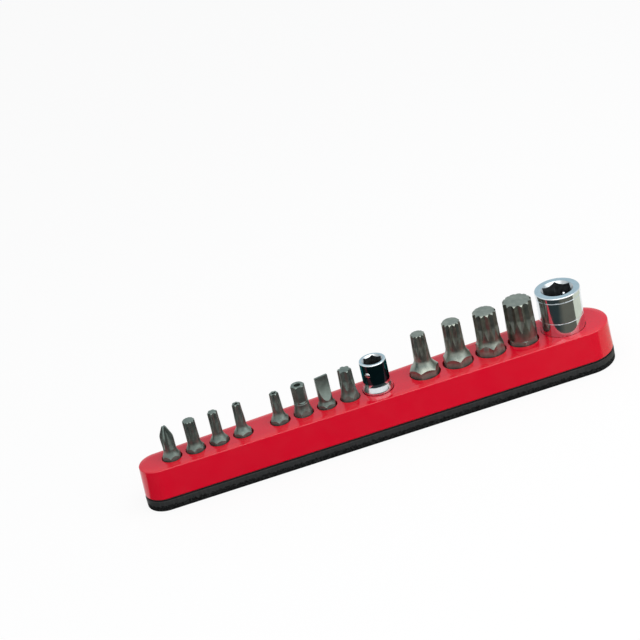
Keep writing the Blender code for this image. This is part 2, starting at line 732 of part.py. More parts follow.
def make_holder():
    name = "holder_body"
    skirt_top = HOLDER_COLLAR_TOP + HOLDER_SKIRT_HEIGHT
    profile = [
        (0, HOLDER_LENGTH),
        (HOLDER_RADIUS - HOLDER_RIM_CHAMFER, HOLDER_LENGTH),
        (HOLDER_RADIUS, HOLDER_LENGTH - HOLDER_RIM_CHAMFER),
        (HOLDER_RADIUS, skirt_top + HOLDER_SHOULDER_HEIGHT),
        (HOLDER_RADIUS + HOLDER_SHOULDER_STEP, skirt_top),
        (HOLDER_COLLAR_RADIUS, HOLDER_COLLAR_TOP),
        (HOLDER_COLLAR_RADIUS, FOOT_CHAMFER),
        (HOLDER_COLLAR_RADIUS - FOOT_CHAMFER, 0),
        (0, 0)]
    material = make_material(name, (0.75, 0.78, 0.8), 0.08, 1.0)
    collection = bpy.data.collections[MODEL_NAME]
    item = turned_object(name, profile, collection, material, BODY_STEPS)
    pin_height = HOLDER_LENGTH - PIN_DEPTH_BELOW_RIM
    cutters = [
        socket_cutter(name + "_socket", SMALL_SOCKET_RADIUS, HOLDER_SOCKET_DEPTH,
                      HOLDER_LENGTH, HOLDER_TURN),
        mouth_cutter(name + "_mouth", SMALL_SOCKET_RADIUS, HOLDER_LENGTH),
        drive_cutter(name + "_drive", SMALL_SQUARE_DRIVE + DRIVE_CLEARANCE,
                     HOLDER_DRIVE_DEPTH, HOLDER_TURN),
        radial_cutter(name + "_pin_hole", PIN_RADIUS + SEAT_GAP * HALF,
                      SMALL_SOCKET_FLATS * HALF - CUT_OVERRUN, HOLDER_RADIUS + CUT_OVERRUN,
                      pin_height, PIN_BEARING)]
    for cutter in cutters:
        add_boolean(item, cutter, "DIFFERENCE")
    place(item, hole_places()[8], TOOL_FLOOR, cutters)


def make_holder_pin():
    """Pin along the cross hole, flat inside and domed outside."""
    name = "holder_pin"
    start = SMALL_SOCKET_FLATS * HALF + SEAT_GAP
    face = HOLDER_RADIUS - SEAT_GAP * HALF
    dome = (1.0, 0.85, 0.5, 0.0)
    profile = []
    for dome_share in reversed(dome):
        lift = math.sqrt(1 - dome_share * dome_share)
        profile.append((PIN_RADIUS * dome_share, face + PIN_DOME_HEIGHT * lift))
    profile += [(PIN_RADIUS, start), (0, start)]
    material = make_material(name, (0.6, 0.6, 0.62), 0.15, 1.0)
    item = turned_object(name, profile, bpy.data.collections[MODEL_NAME], material, TURN_STEPS)
    item.rotation_euler = (0, math.pi * HALF, math.radians(PIN_BEARING))
    item.location = (hole_places()[8], 0,
                     TOOL_FLOOR + HOLDER_LENGTH - PIN_DEPTH_BELOW_RIM)


def groove_profile(radius, height):
    """V-shaped ring groove, listed from its upper edge down."""
    half_width = ADAPTER_GROOVE_WIDTH * HALF
    return [(radius, height + half_width),
            (radius - ADAPTER_GROOVE_DEPTH, height),
            (radius, height - half_width)]


def make_adapter():
    name = "adapter_body"
    rim_floor = ADAPTER_LENGTH - ADAPTER_RIM_HEIGHT
    profile = [
        (0, ADAPTER_LENGTH),
        (ADAPTER_RIM_RADIUS - ADAPTER_RIM_CHAMFER, ADAPTER_LENGTH),
        (ADAPTER_RIM_RADIUS, ADAPTER_LENGTH - ADAPTER_RIM_CHAMFER),
        (ADAPTER_RIM_RADIUS, rim_floor + ADAPTER_GROOVE_WIDTH * HALF),
        (ADAPTER_RADIUS - ADAPTER_GROOVE_DEPTH, rim_floor),
        (ADAPTER_RADIUS, rim_floor - ADAPTER_GROOVE_WIDTH * HALF)]
    profile += groove_profile(ADAPTER_RADIUS, ADAPTER_LOWER_GROOVE_HEIGHT)
    profile += [(ADAPTER_RADIUS, FOOT_CHAMFER),
                (ADAPTER_RADIUS - FOOT_CHAMFER, 0),
                (0, 0)]
    material = make_material(name, (0.75, 0.78, 0.8), 0.06, 1.0)
    collection = bpy.data.collections[MODEL_NAME]
    item = turned_object(name, profile, collection, material, BODY_STEPS)
    cutters = [
        socket_cutter(name + "_socket", LARGE_SOCKET_RADIUS, ADAPTER_SOCKET_DEPTH,
                      ADAPTER_LENGTH, ADAPTER_TURN),
        mouth_cutter(name + "_mouth", LARGE_SOCKET_RADIUS, ADAPTER_LENGTH),
        drive_cutter(name + "_drive", LARGE_SQUARE_DRIVE + DRIVE_CLEARANCE,
                     ADAPTER_DRIVE_DEPTH, ADAPTER_TURN),
        radial_cutter(name + "_ball_hole", BALL_RADIUS + BALL_HOLE_CLEARANCE * HALF,
                      LARGE_SOCKET_FLATS * HALF - CUT_OVERRUN,
                      ADAPTER_RADIUS - BALL_HOLE_END_WALL,
                      ADAPTER_LENGTH - BALL_DEPTH_BELOW_RIM, BALL_BEARING)]
    for cutter in cutters:
        add_boolean(item, cutter, "DIFFERENCE")
    place(item, hole_places()[13], TOOL_FLOOR, cutters)


def ball_axis_point(reach):
    """Point on the ball's radial axis, at the given distance from the adapter's."""
    bearing = math.radians(BALL_BEARING)
    return Vector((hole_places()[13] + reach * math.cos(bearing), reach * math.sin(bearing),
                   TOOL_FLOOR + ADAPTER_LENGTH - BALL_DEPTH_BELOW_RIM))


def ball_reach():
    """Distance of the ball's centre from the adapter's axis when nothing is in."""
    return LARGE_SOCKET_FLATS * HALF - BALL_PROUD + BALL_RADIUS


def make_adapter_ball():
    name = "adapter_ball"
    shape = bmesh.new()
    bmesh.ops.create_uvsphere(shape, u_segments=TURN_STEPS, v_segments=12, radius=BALL_RADIUS)
    for face in shape.faces:
        face.smooth = True
    mesh = bpy.data.meshes.new(name)
    shape.to_mesh(mesh)
    shape.free()
    material = make_material(name, (0.7, 0.72, 0.74), 0.1, 1.0)
    item = link_object(name, mesh, bpy.data.collections[MODEL_NAME], material)
    item.location = ball_axis_point(ball_reach())


def make_adapter_ball_spring():
    """Spring between the ball and the end of its hole, as a plain sleeve."""
    name = "adapter_ball_spring"
    start = ball_reach() + BALL_RADIUS + SEAT_GAP * HALF
    end = ADAPTER_RADIUS - BALL_HOLE_END_WALL - SEAT_GAP
    length = end - start
    mesh = bpy.data.meshes.new(name)
    mesh.from_pydata(
        [(SPRING_BORE_RADIUS, 0, 0), (SPRING_BORE_RADIUS, 0, length),
         (SPRING_RADIUS, 0, length), (SPRING_RADIUS, 0, 0)],
        [(0, 1), (1, 2), (2, 3), (3, 0)], [])
    material = make_material(name, (0.5, 0.5, 0.5), 0.3, 1.0)
    item = link_object(name, mesh, bpy.data.collections[MODEL_NAME], material)
    screw = item.modifiers.new("turn", "SCREW")
    screw.axis = "Z"
    screw.angle = 2 * math.pi
    screw.steps = TURN_STEPS
    screw.render_steps = TURN_STEPS
    screw.use_merge_vertices = True
    screw.merge_threshold = MERGE_DISTANCE
    item.rotation_euler = (0, math.pi * HALF, math.radians(BALL_BEARING))
    item.location = ball_axis_point(start)


# The tray itself
def make_magnet_base():
    name = "magnet_base"
    outline = outline_points(BLOCK_DRAFT + MAGNET_PROUD)
    mesh = plate_mesh(name, [outline], 0, MAGNET_THICKNESS)
    material = make_material(name, (0.03, 0.03, 0.03), 0.7, 0.0)
    item = link_object(name, mesh, bpy.data.collections[MODEL_NAME], material)
    bevel = item.modifiers.new("edges", "BEVEL")
    bevel.limit_method = "ANGLE"
    bevel.angle_limit = math.radians(60)
    bevel.width = MAGNET_EDGE_RADIUS
    bevel.segments = 2


def make_adhesive_film():
    """Thin bonding film, cut with the same holes as the block."""
    name = "adhesive_film"
    loops = [outline_points(BLOCK_DRAFT - FILM_INSET)]
    for x, (radius, web) in zip(hole_places(), HOLE_ROW):
        loops.append(circle_points(x, radius, TURN_STEPS))
    mesh = plate_mesh(name, loops, FILM_FLOOR, FILM_THICKNESS)
    material = make_material(name, (0.6, 0.6, 0.55), 0.6, 0.0)
    link_object(name, mesh, bpy.data.collections[MODEL_NAME], material)


def make_tray_body():
    """Moulded block: drafted sides, a rounded top edge and a row of holes."""
    name = "tray_body"
    low = [Vector((x, y, BLOCK_FLOOR)) for x, y in outline_points(BLOCK_DRAFT)]
    high = [Vector((x, y, BLOCK_TOP)) for x, y in outline_points(0)]
    mesh = loft_mesh(name, [low, high])
    weights = mesh.attributes.new("bevel_weight_edge", "FLOAT", "EDGE")
    middle = (BLOCK_FLOOR + BLOCK_TOP) * HALF
    for edge in mesh.edges:
        heights = [mesh.vertices[index].co.z for index in edge.vertices]
        weights.data[edge.index].value = 1.0 if min(heights) > middle else 0.0
    material = make_material(name, (0.6, 0.012, 0.03), 0.25, 0.0)
    item = link_object(name, mesh, bpy.data.collections[MODEL_NAME], material)
    bevel = item.modifiers.new("top_edge", "BEVEL")
    bevel.limit_method = "WEIGHT"
    bevel.width = BLOCK_TOP_FILLET
    bevel.segments = 4
    for index, (x, (radius, web)) in enumerate(zip(hole_places(), HOLE_ROW)):
        label = "block_hole_%d" % (index + 1)
        cutter = link_cutter(label, cylinder_mesh(
            label, radius, BLOCK_FLOOR - CUT_OVERRUN, BLOCK_TOP + CUT_OVERRUN, HOLE_STEPS))
        cutter.location = (x, 0, 0)
        add_boolean(item, cutter, "DIFFERENCE")
    mesh.shade_smooth()
    mesh.set_sharp_from_angle(angle=math.radians(35))


def main():
    clear_scene()
    make_collection(MODEL_NAME)
    make_collection(CUTTER_NAME)
    make_magnet_base()
    make_adhesive_film()
    make_tray_body()
    make_cross_bit()
    make_small_fluted_bits()
    make_hex_bit()
    make_slotted_bit()
    make_large_bits()
    make_holder()
    make_holder_pin()
    make_adapter()
    make_adapter_ball()
    make_adapter_ball_spring()


main()
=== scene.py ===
"""Magnetic bit tray: finished surfaces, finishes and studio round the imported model.

Metres, +Z up, the row of holes along +X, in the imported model's own frame.
"""

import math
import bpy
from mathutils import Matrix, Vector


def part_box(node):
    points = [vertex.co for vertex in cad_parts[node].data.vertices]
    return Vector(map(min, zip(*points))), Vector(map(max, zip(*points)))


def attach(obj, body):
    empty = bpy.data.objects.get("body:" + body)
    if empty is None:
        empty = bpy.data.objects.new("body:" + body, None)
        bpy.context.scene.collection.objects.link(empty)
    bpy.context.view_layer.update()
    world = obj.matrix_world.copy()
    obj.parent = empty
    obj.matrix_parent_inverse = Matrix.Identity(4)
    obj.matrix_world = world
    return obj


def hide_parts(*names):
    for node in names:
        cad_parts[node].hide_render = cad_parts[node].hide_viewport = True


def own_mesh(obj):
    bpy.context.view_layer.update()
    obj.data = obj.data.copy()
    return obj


bl_info = {
    "name": "Magnetic bit tray",
    "version": (1, 0, 0),
    "blender": (4, 5, 0),
    "location": "3D View > Sidebar > Bit tray",
    "description": "Surfaces, finishes and studio of a magnetic tray with its bits",
    "category": "Add Mesh",
}

from functools import cached_property
from typing import NamedTuple

import bpy
import numpy as np
from mathutils import Matrix, Vector

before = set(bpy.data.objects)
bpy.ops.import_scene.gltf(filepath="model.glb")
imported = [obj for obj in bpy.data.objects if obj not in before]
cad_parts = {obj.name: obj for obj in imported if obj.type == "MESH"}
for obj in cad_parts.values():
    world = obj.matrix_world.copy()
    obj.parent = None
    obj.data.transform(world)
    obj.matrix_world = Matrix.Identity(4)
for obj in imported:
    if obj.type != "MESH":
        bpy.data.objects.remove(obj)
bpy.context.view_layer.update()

MM = 0.001
SHARP_ANGLE = math.radians(25)
SAME_ANGLE = 1e-4
EDGE_STEPS = 8
SMALL_EDGE_STEPS = 4


# Settings that a user would change
class TraySizes(bpy.types.PropertyGroup):
    top_edge: bpy.props.FloatProperty(
        name="Top edge", description="Radius of the rounded edge round the block's top",
        default=0.4 * MM, unit="LENGTH", precision=5)
    crown: bpy.props.FloatProperty(
        name="Crown", description="How far the block's top falls away towards its edge",
        default=0.25 * MM, unit="LENGTH", precision=5)
    hole_edge: bpy.props.FloatProperty(
        name="Hole edge", description="Radius of the rounded edge of each hole",
        default=0.15 * MM, unit="LENGTH", precision=5)
    magnet_edge: bpy.props.FloatProperty(
        name="Magnet edge", description="Radius of the magnet sheet's worn lower edge",
        default=0.3 * MM, unit="LENGTH", precision=5)
    socket_mouth: bpy.props.FloatProperty(
        name="Socket mouth", description="How far a socket's mouth cone opens past its corners",
        default=0.2 * MM, unit="LENGTH", precision=5)
    hexagon_edge: bpy.props.FloatProperty(
        name="Hexagon edge", description="How much is worn off a hexagon shank's corners",
        default=0.04 * MM, unit="LENGTH", precision=5)


class TrayColours(bpy.types.PropertyGroup):
    plastic: bpy.props.FloatVectorProperty(
        name="Plastic", description="Colour of the moulded block", subtype="COLOR",
        size=3, min=0, max=1, default=(0.6, 0.0008, 0.017))
    rubber: bpy.props.FloatVectorProperty(
        name="Magnet", description="Colour of the flexible magnet sheet", subtype="COLOR",
        size=3, min=0, max=1, default=(0.02, 0.0215, 0.0215))
    film: bpy.props.FloatVectorProperty(
        name="Film", description="Colour of the bonding film", subtype="COLOR",
        size=3, min=0, max=1, default=(0.045, 0.042, 0.04))
    steel: bpy.props.FloatVectorProperty(
        name="Large bits", description="Colour of the large bits' phosphate finish",
        subtype="COLOR", size=3, min=0, max=1, default=(0.288, 0.312, 0.27))
    small_steel: bpy.props.FloatVectorProperty(
        name="Small bits", description="Colour of the small bits' phosphate finish",
        subtype="COLOR", size=3, min=0, max=1, default=(0.185, 0.225, 0.198))
    chrome: bpy.props.FloatVectorProperty(
        name="Chrome", description="Colour of the plated holder and adapter",
        subtype="COLOR", size=3, min=0, max=1, default=(0.73, 0.765, 0.785))


class StudioSettings(bpy.types.PropertyGroup):
    ambient: bpy.props.FloatProperty(
        name="Ambient", description="Strength of the room's even light", default=0.72, min=0)
    key_radiance: bpy.props.FloatProperty(
        name="Key light", description="Brightness of the soft box in front", default=1.0, min=0)
    top_radiance: bpy.props.FloatProperty(
        name="Top light", description="Brightness of the soft box above", default=1.85, min=0)
    floor: bpy.props.FloatVectorProperty(
        name="Floor", description="Colour of the floor", subtype="COLOR",
        size=3, min=0, max=1, default=(0.8, 0.8, 0.8))


# Surfaces
def axis_of(node):
    """X and Y of a tool's axis and the height of its foot, from its packed box."""
    low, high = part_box(node)
    return (low[0] + high[0]) / 2, (low[1] + high[1]) / 2, low[2]


def skin(rings, first_pole, last_pole):
    """Points and faces of a closed surface over rings of equal point counts.

    Neighbouring rings are joined by quads, and the first and last ring are
    closed by a fan of triangles to their own pole."""
    count, around, _ = rings.shape
    points = np.concatenate((rings.reshape(-1, 3), [first_pole], [last_pole]))
    ring, column = np.meshgrid(np.arange(count - 1), np.arange(around), indexing="ij")
    after = (column + 1) % around
    quads = np.stack((ring * around + column, ring * around + after,
                      (ring + 1) * around + after, (ring + 1) * around + column), -1)
    column = np.arange(around)
    after = (column + 1) % around
    start, end = count * around, count * around + 1
    low = np.stack((np.full(around, start), after, column), -1)
    top = (count - 1) * around
    high = np.stack((np.full(around, end), top + column, top + after), -1)
    return points, (quads.reshape(-1, 4), low, high)


def fill_mesh(mesh, parts):
    """Write points and faces of one or more closed surfaces into a mesh."""
    points, loops, sizes, offset = [], [], [], 0
    for part_points, groups in parts:
        points.append(part_points)
        for group in groups:
            loops.append((group + offset).ravel())
            sizes.append(np.full(len(group), group.shape[1]))
        offset += len(part_points)
    points = np.concatenate(points).astype(np.float32)
    loops = np.concatenate(loops).astype(np.int32)
    sizes = np.concatenate(sizes)
    starts = np.concatenate(([0], np.cumsum(sizes)[:-1])).astype(np.int32)
    mesh.vertices.add(len(points))
    mesh.vertices.foreach_set("co", points.ravel())
    mesh.loops.add(len(loops))
    mesh.loops.foreach_set("vertex_index", loops)
    mesh.polygons.add(len(sizes))
    mesh.polygons.foreach_set("loop_start", starts)
    mesh.update(calc_edges=True)
    mesh.validate()


def smooth_with_edges(mesh):
    mesh.shade_smooth()
    mesh.set_sharp_from_angle(angle=SHARP_ANGLE)


def link(name, data):
    """New object at the origin, in the scene's own collection."""
    made = bpy.data.objects.new(name, data)
    bpy.context.scene.collection.objects.link(made)
    return made


def make_piece(name, parts, *materials):
    """Object at the origin whose mesh holds the closed surfaces in parts."""
    mesh = bpy.data.meshes.new(name)
    fill_mesh(mesh, parts)
    smooth_with_edges(mesh)
    for material in materials:
        mesh.materials.append(material)
    return link(name, mesh)


def carve(piece, cutters):
    """Cut closed surfaces out of a piece and keep the result as its mesh."""
    mesh = bpy.data.meshes.new("cutter")
    fill_mesh(mesh, cutters)
    cutter = link("cutter", mesh)
    cut = piece.modifiers.new("cut", "BOOLEAN")
    cut.operation = "DIFFERENCE"
    cut.solver = "EXACT"
    cut.object = cutter
    bpy.context.view_layer.update()
    graph = bpy.context.evaluated_depsgraph_get()
    carved = bpy.data.meshes.new_from_object(piece.evaluated_get(graph))
    piece.modifiers.clear()
    old = piece.data
    carved.name = piece.name
    piece.data = carved
    bpy.data.meshes.remove(old)
    bpy.data.objects.remove(cutter)
    bpy.data.meshes.remove(mesh)
    smooth_with_edges(carved)
    weigh = piece.modifiers.new("flat faces stay flat", "WEIGHTED_NORMAL")
    weigh.keep_sharp = True


def settle(piece, body, slot, *nodes):
    """Let a piece ride on its body and stand for its CAD nodes; the slot is not used."""
    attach(piece, body)
    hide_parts(*nodes)


def turned(profile, around, centre=(0, 0, 0)):
    """Closed surface of a (radius, height) profile turned about the vertical.

    The profile's first and last points give the heights of the two poles."""
    radius, height = np.array(profile[1:-1]).T
    angle = np.linspace(0, 2 * np.pi, around, endpoint=False)
    rings = np.stack((np.outer(radius, np.cos(angle)), np.outer(radius, np.sin(angle)),
                      np.repeat(height[:, None], around, 1)), -1)
    poles = np.array([[0, 0, profile[0][1]], [0, 0, profile[-1][1]]])
    rings, poles = rings + np.array(centre), poles + np.array(centre)
    return skin(rings, poles[0], poles[1])


def on_axis(node, radius, height, bearing, first_pole, last_pole):
    """Closed surface round a tool's own axis, from arrays of radius and height.

    Lengths are in millimetres, and heights count from the tool's foot."""
    rings = np.stack((radius * np.cos(bearing), radius * np.sin(bearing), height), -1)
    place = np.array(axis_of(node))
    up = np.array((0, 0, MM))
    return skin(rings * MM + place, place + up * first_pole, place + up * last_pole)


def merged_angles(*groups):
    """Angles of one turn in order, with those that are all but equal left out."""
    angle = np.sort(np.concatenate(groups) % (2 * np.pi))
    return angle[np.append(True, np.diff(angle) > SAME_ANGLE)]


def arc(centre, radius, start, end, steps):
    """Points (radius, height) along an arc between two angles in degrees."""
    angle = np.radians(np.linspace(start, end, steps + 1))
    return [(centre[0] + radius * math.cos(a), centre[1] + radius * math.sin(a))
            for a in angle]


# The block, its holes, the film and the magnet sheet
BLOCK_FLOOR = 4.75 * MM
BLOCK_TOP = 17.2 * MM
BLOCK_DRAFT = 0.55 * MM
OUTLINE_HALF = 93.93 * MM
SMALL_END = 7.1 * MM
LARGE_END = 11.75 * MM
BLOCK_FOOT_EDGE = 0.7 * MM
CROWN_WIDTH = 2.4 * MM
MAGNET_TOP = 4.2 * MM
MAGNET_PROUD = 0.1 * MM
MAGNET_TOP_EDGE = 0.2 * MM
END_STEPS = 64
CROWN_STEPS = 8
HOLE_COLUMNS = 96
HOLE_EDGE_SWEEP = 80
HOLES = (
    ("cross_bit", 3.9), ("spline_bit_small", 3.9), ("star_bit_plain", 3.9),
    ("star_bit_bored", 3.9), ("star_bit_slim", 3.9), ("hex_bit_bored", 3.9),
    ("slotted_bit", 3.9), ("star_bit_large", 3.9), ("holder_body", 6.1),
    ("spline_bit_1", 6.0), ("spline_bit_2", 6.0), ("spline_bit_3", 6.0),
    ("spline_bit_4", 6.0), ("adapter_body", 8.68))


def outline(grow):
    """Tapered outline with round ends and tangent sides, grown by each entry.

    Each end is an arc round its own fixed centre, and growing adds to both
    radii, so the straight sides move outwards by the same amount."""
    left = -OUTLINE_HALF + SMALL_END
    right = OUTLINE_HALF - LARGE_END
    lean = math.asin((LARGE_END - SMALL_END) / (right - left))
    large = np.linspace(-np.pi / 2 - lean, np.pi / 2 + lean, END_STEPS + 1)
    small = np.linspace(np.pi / 2 + lean, 3 * np.pi / 2 - lean, END_STEPS + 1)
    grow = np.asarray(grow)[:, None]
    x = np.concatenate((right + (LARGE_END + grow) * np.cos(large),
                        left + (SMALL_END + grow) * np.cos(small)), 1)
    y = np.concatenate(((LARGE_END + grow) * np.sin(large),
                        (SMALL_END + grow) * np.sin(small)), 1)
    return x, y


def lofted_outline(profile):
    """Closed surface over the outline: a profile of (growth, height) upwards."""
    grow, height = np.array(profile).T
    x, y = outline(grow)
    rings = np.stack((x, y, np.repeat(height[:, None], x.shape[1], 1)), -1)
    return skin(rings, rings[0].mean(0), rings[-1].mean(0))


class BITTRAY_OT_block(bpy.types.Operator):
    """Make the moulded block: a drafted outline with a rounded top and fourteen holes"""
    bl_idname = "bittray.block"
    bl_label = "Moulded block"

    def execute(self, context):
        sizes = context.scene.bit_tray_sizes
        edge, foot = sizes.top_edge, BLOCK_FOOT_EDGE
        profile = arc((BLOCK_DRAFT - foot, BLOCK_FLOOR + foot), foot, -90, 0, SMALL_EDGE_STEPS)
        tilt = math.degrees(math.atan(2 * sizes.crown / CROWN_WIDTH))
        profile += arc((-edge, BLOCK_TOP - sizes.crown - edge), edge, 0, 90 - tilt, EDGE_STEPS)
        share = np.linspace(0, 1, CROWN_STEPS + 1)[1:]
        profile += list(zip(-edge - CROWN_WIDTH * share,
                            BLOCK_TOP - sizes.crown * (1 - share) ** 2))
        block = make_piece("moulded_block", [lofted_outline(profile)],
                           plastic_finish(context.scene.bit_tray_colours.plastic))
        cutters = []
        rim = sizes.hole_edge
        for node, radius in HOLES:
            x, y, _ = axis_of(node)
            wide = radius * MM
            profile = [(0, BLOCK_FLOOR - MM), (wide, BLOCK_FLOOR - MM)]
            profile += [(wide + rim - r, h) for r, h in arc(
                (0, BLOCK_TOP - rim), rim, 0, HOLE_EDGE_SWEEP, SMALL_EDGE_STEPS)]
            profile += [(wide + rim, BLOCK_TOP + MM), (0, BLOCK_TOP + MM)]
            cutters.append(turned(profile, HOLE_COLUMNS, (x, y, 0)))
        carve(block, cutters)
        settle(block, "tray", "red_plastic", "tray_body")
        return {"FINISHED"}


class BITTRAY_OT_magnet(bpy.types.Operator):
    """Make the flexible magnet sheet with its worn lower edge"""
    bl_idname = "bittray.magnet"
    bl_label = "Magnet sheet"

    def execute(self, context):
        reach = BLOCK_DRAFT + MAGNET_PROUD
        worn = context.scene.bit_tray_sizes.magnet_edge
        crisp = MAGNET_TOP_EDGE
        profile = arc((reach - worn, worn), worn, -90, 0, EDGE_STEPS)
        profile += arc((reach - crisp, MAGNET_TOP - crisp), crisp, 0, 90, SMALL_EDGE_STEPS)
        sheet = make_piece("magnet_sheet", [lofted_outline(profile)],
                           rubber_finish(context.scene.bit_tray_colours.rubber))
        settle(sheet, "tray", "magnet_rubber", "magnet_base")
        return {"FINISHED"}


class BITTRAY_OT_film(bpy.types.Operator):
    """Give the bonding film between the block and the magnet sheet its finish"""
    bl_idname = "bittray.film"
    bl_label = "Bonding film"

    def execute(self, context):
        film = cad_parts["adhesive_film"]
        film.data.materials.clear()
        film.data.materials.append(film_finish(context.scene.bit_tray_colours.film))
        return {"FINISHED"}


# Bits
class Bit(NamedTuple):
    """Sizes of one bit in millimetres; heights count from its foot, turns in degrees."""
    node: str
    section: str
    hexagon_turn: float
    blade_turn: float
    corner_end: float
    neck_end: float
    neck: float
    root: float
    tip: float
    length: float
    cut_low: float
    cut_full: float
    chamfer: float = 0.3
    bore: float = 0.0
    ledge: float = 0.0


SMALL_METAL_SHARE = 0.86
SMALL_HEXAGON = 6.35
LARGE_HEXAGON = 10.0
FOOT_CHAMFER = 0.5
SMALL_BITS = (
    Bit("cross_bit", "cross", 13, 61, 13.45, 16.7, 2.45, 2.45, 0.85, 25.9, 16.9, 24.0),
    Bit("spline_bit_small", "spline", 11, 10, 13.45, 16.7, 2.45, 2.45, 2.4, 25.2, 17.2, 20.2),
    Bit("star_bit_plain", "star", 1, 7, 13.45, 16.9, 2.05, 2.05, 1.95, 25.4, 17.2, 21.2),
    Bit("star_bit_bored", "star", 17, 11, 13.45, 16.9, 1.97, 1.97, 1.7, 25.5, 17.4, 21.6,
        bore=0.7),
    Bit("star_bit_slim", "star", 12, 44, 13.45, 17.4, 2.05, 2.05, 1.78, 24.8, 18.2, 21.6,
        bore=0.75),
    Bit("hex_bit_bored", "hexagon", 5, 3, 13.45, 17.4, 2.85, 2.75, 2.75, 24.9, 17.8, 18.4,
        bore=1.3, ledge=0.2),
    Bit("slotted_bit", "flat", 13, 10, 13.45, 15.7, 2.65, 2.65, 2.65, 25.2, 15.7, 25.0,
        chamfer=0.12),
    Bit("star_bit_large", "star", 36, 40, 13.45, 16.9, 2.88, 2.88, 2.72, 24.9, 17.0, 20.6),
)
LARGE_BITS = (
    Bit("spline_bit_1", "spline", 0, 6, 14.9, 19.3, 3.2, 3.2, 2.85, 29.5, 20.8, 25.0),
    Bit("spline_bit_2", "spline", 24, 5, 14.9, 19.5, 3.72, 3.72, 3.6, 30.1, 20.4, 24.6,
        chamfer=0.55),
    Bit("spline_bit_3", "spline", 25, 27, 15.5, 18.9, 4.6, 4.6, 4.6, 29.8, 19.0, 23.6,
        chamfer=0.55),
    Bit("spline_bit_4", "spline", 20, 28, 14.0, 14.45, 5.25, 5.68, 5.68, 29.9, 18.0, 23.0,
        chamfer=0.55, ledge=0.35),
)
CREST_SHARE = 0.985
STAR_DEPTH_SHARE = 0.28
STAR_LOBE_POWER = 1.25
BLADE_TIP = 0.9
CROSS_PROFILE = ((18.4, 2.5), (20.0, 2.6), (21.5, 2.6), (22.5, 2.4))
CROSS_WING = (0.46, 0.3)
CROSS_CORE = (1.0, 0.5)
NECK_POINTS = 25
BORE_LIP = 0.08
BORE_DEPTH = 3.0
SMALL_BIT_COLUMNS = 192
LARGE_BIT_COLUMNS = 240
HALVINGS = 36
LEAST_STEP = 0.02
LEAST_CUT = 1e-5
LEAST_SINE = 1e-6
# Bands of faces upwards: foot chamfer, shank and neck, then the ledge, then
# the run-out of the cuts, the blade, its tip and the tip's chamfer
SHANK_BANDS = [1, 4, 10]
LEDGE_BANDS = [3]
BLADE_BANDS = {"flat": [8, 16, 5, 2], "cross": [8, 12, 10, 2]}
OTHER_BLADE_BANDS = [8, 12, 5, 2]


def within(angle, period):
    """Distance of each angle from the nearest multiple of the period."""
    return np.abs((angle + period / 2) % period - period / 2)


def polygon_share(angle, sides):
    """Radius of a regular polygon with a corner at 0, as a share of its corners'."""
    half = np.pi / sides
    return math.cos(half) / np.cos(half - within(angle, 2 * half))


def section_share(section, angle):
    """Radius of a blade's section round its axis, as a share of the turned blank.

    spline: the outer envelope of three squares a twelfth of a turn apart.
    star: six lobes, a raised cosine whose power narrows the lobes.
    hexagon: a regular hexagon. The corners are cut off at the blank."""
    if section == "star":
        wave = (1 + np.cos(6 * angle)) / 2
        return 1 - STAR_DEPTH_SHARE * (1 - wave ** STAR_LOBE_POWER)
    if section == "hexagon":
        share = polygon_share(angle, 6)
    else:
        corner = within(angle, np.pi / 6)
        share = math.cos(np.pi / 4) / np.cos(np.pi / 4 - corner)
    return np.minimum(1, share / CREST_SHARE)


def last_height(test, low, high):
    """Height in each column up to which the test holds, found by halving."""
    for _ in range(HALVINGS):
        middle = (low + high) / 2
        holds = test(middle)
        low, high = np.where(holds, middle, low), np.where(holds, high, middle)
    return low


def bit_profile(bit, corner):
    """Turned blank of a bit: heights and radii from the foot to the tip."""
    share = np.linspace(0, 1, NECK_POINTS)
    flare = bit.neck + (corner - bit.neck) * (1 - share) ** 2
    heights = np.concatenate(([0, FOOT_CHAMFER], bit.corner_end
                              + (bit.neck_end - bit.corner_end) * share))
    radii = np.concatenate(([corner - FOOT_CHAMFER, corner], flare))
    end = bit.length - bit.chamfer
    if bit.section == "cross":
        blade = CROSS_PROFILE + ((bit.length, bit.tip),)
    else:
        blade = ((end, bit.tip), (bit.length, bit.tip - bit.chamfer))
    if bit.ledge:
        blade = ((bit.neck_end + bit.ledge, bit.root),) + blade
    more_heights, more_radii = zip(*blade)
    return np.append(heights, more_heights), np.append(radii, more_radii)


def bit_cut(bit, angle, blank):
    """Function of height that gives the radius left by the blade's cuts.

    Each cut runs at full depth down to cut_full and then leaves the blank
    along a straight ramp that ends at cut_low. A cross keeps four tapering
    wings and a core between them. A flat blade is hollow ground on two sides."""
    blade_angle = angle - math.radians(bit.blade_turn)
    run = bit.cut_full - bit.cut_low

    def rise(height):
        return np.clip((height - bit.neck_end) / (bit.length - bit.neck_end), 0, 1)

    def taper(height, sizes):
        return sizes[0] + (sizes[1] - sizes[0]) * rise(height)

    if bit.section == "flat":
        across = np.maximum(np.abs(np.sin(blade_angle)), LEAST_SINE)
        half = BLADE_TIP / 2
        return lambda height: (half + (bit.root - half) * (1 - rise(height)) ** 2) / across
    if bit.section == "cross":
        wing = within(blade_angle, np.pi / 2)
        across = np.maximum(np.sin(wing), LEAST_SINE)
        depth = blank(bit.cut_full) - taper(bit.cut_full, CROSS_CORE)

        def full(height):
            return np.maximum(taper(height, CROSS_WING) / across,
                              taper(height, CROSS_CORE) / np.cos(np.pi / 4 - wing))
    else:
        share = section_share(bit.section, blade_angle)
        depth = blank(bit.cut_full) * (1 - share.min())

        def full(height):
            return np.interp(height, (bit.neck_end, bit.length - bit.chamfer),
                             (bit.root, bit.tip)) * share

    def cut(height):
        return full(height) + depth * np.maximum(bit.cut_full - height, 0) / run
    return cut


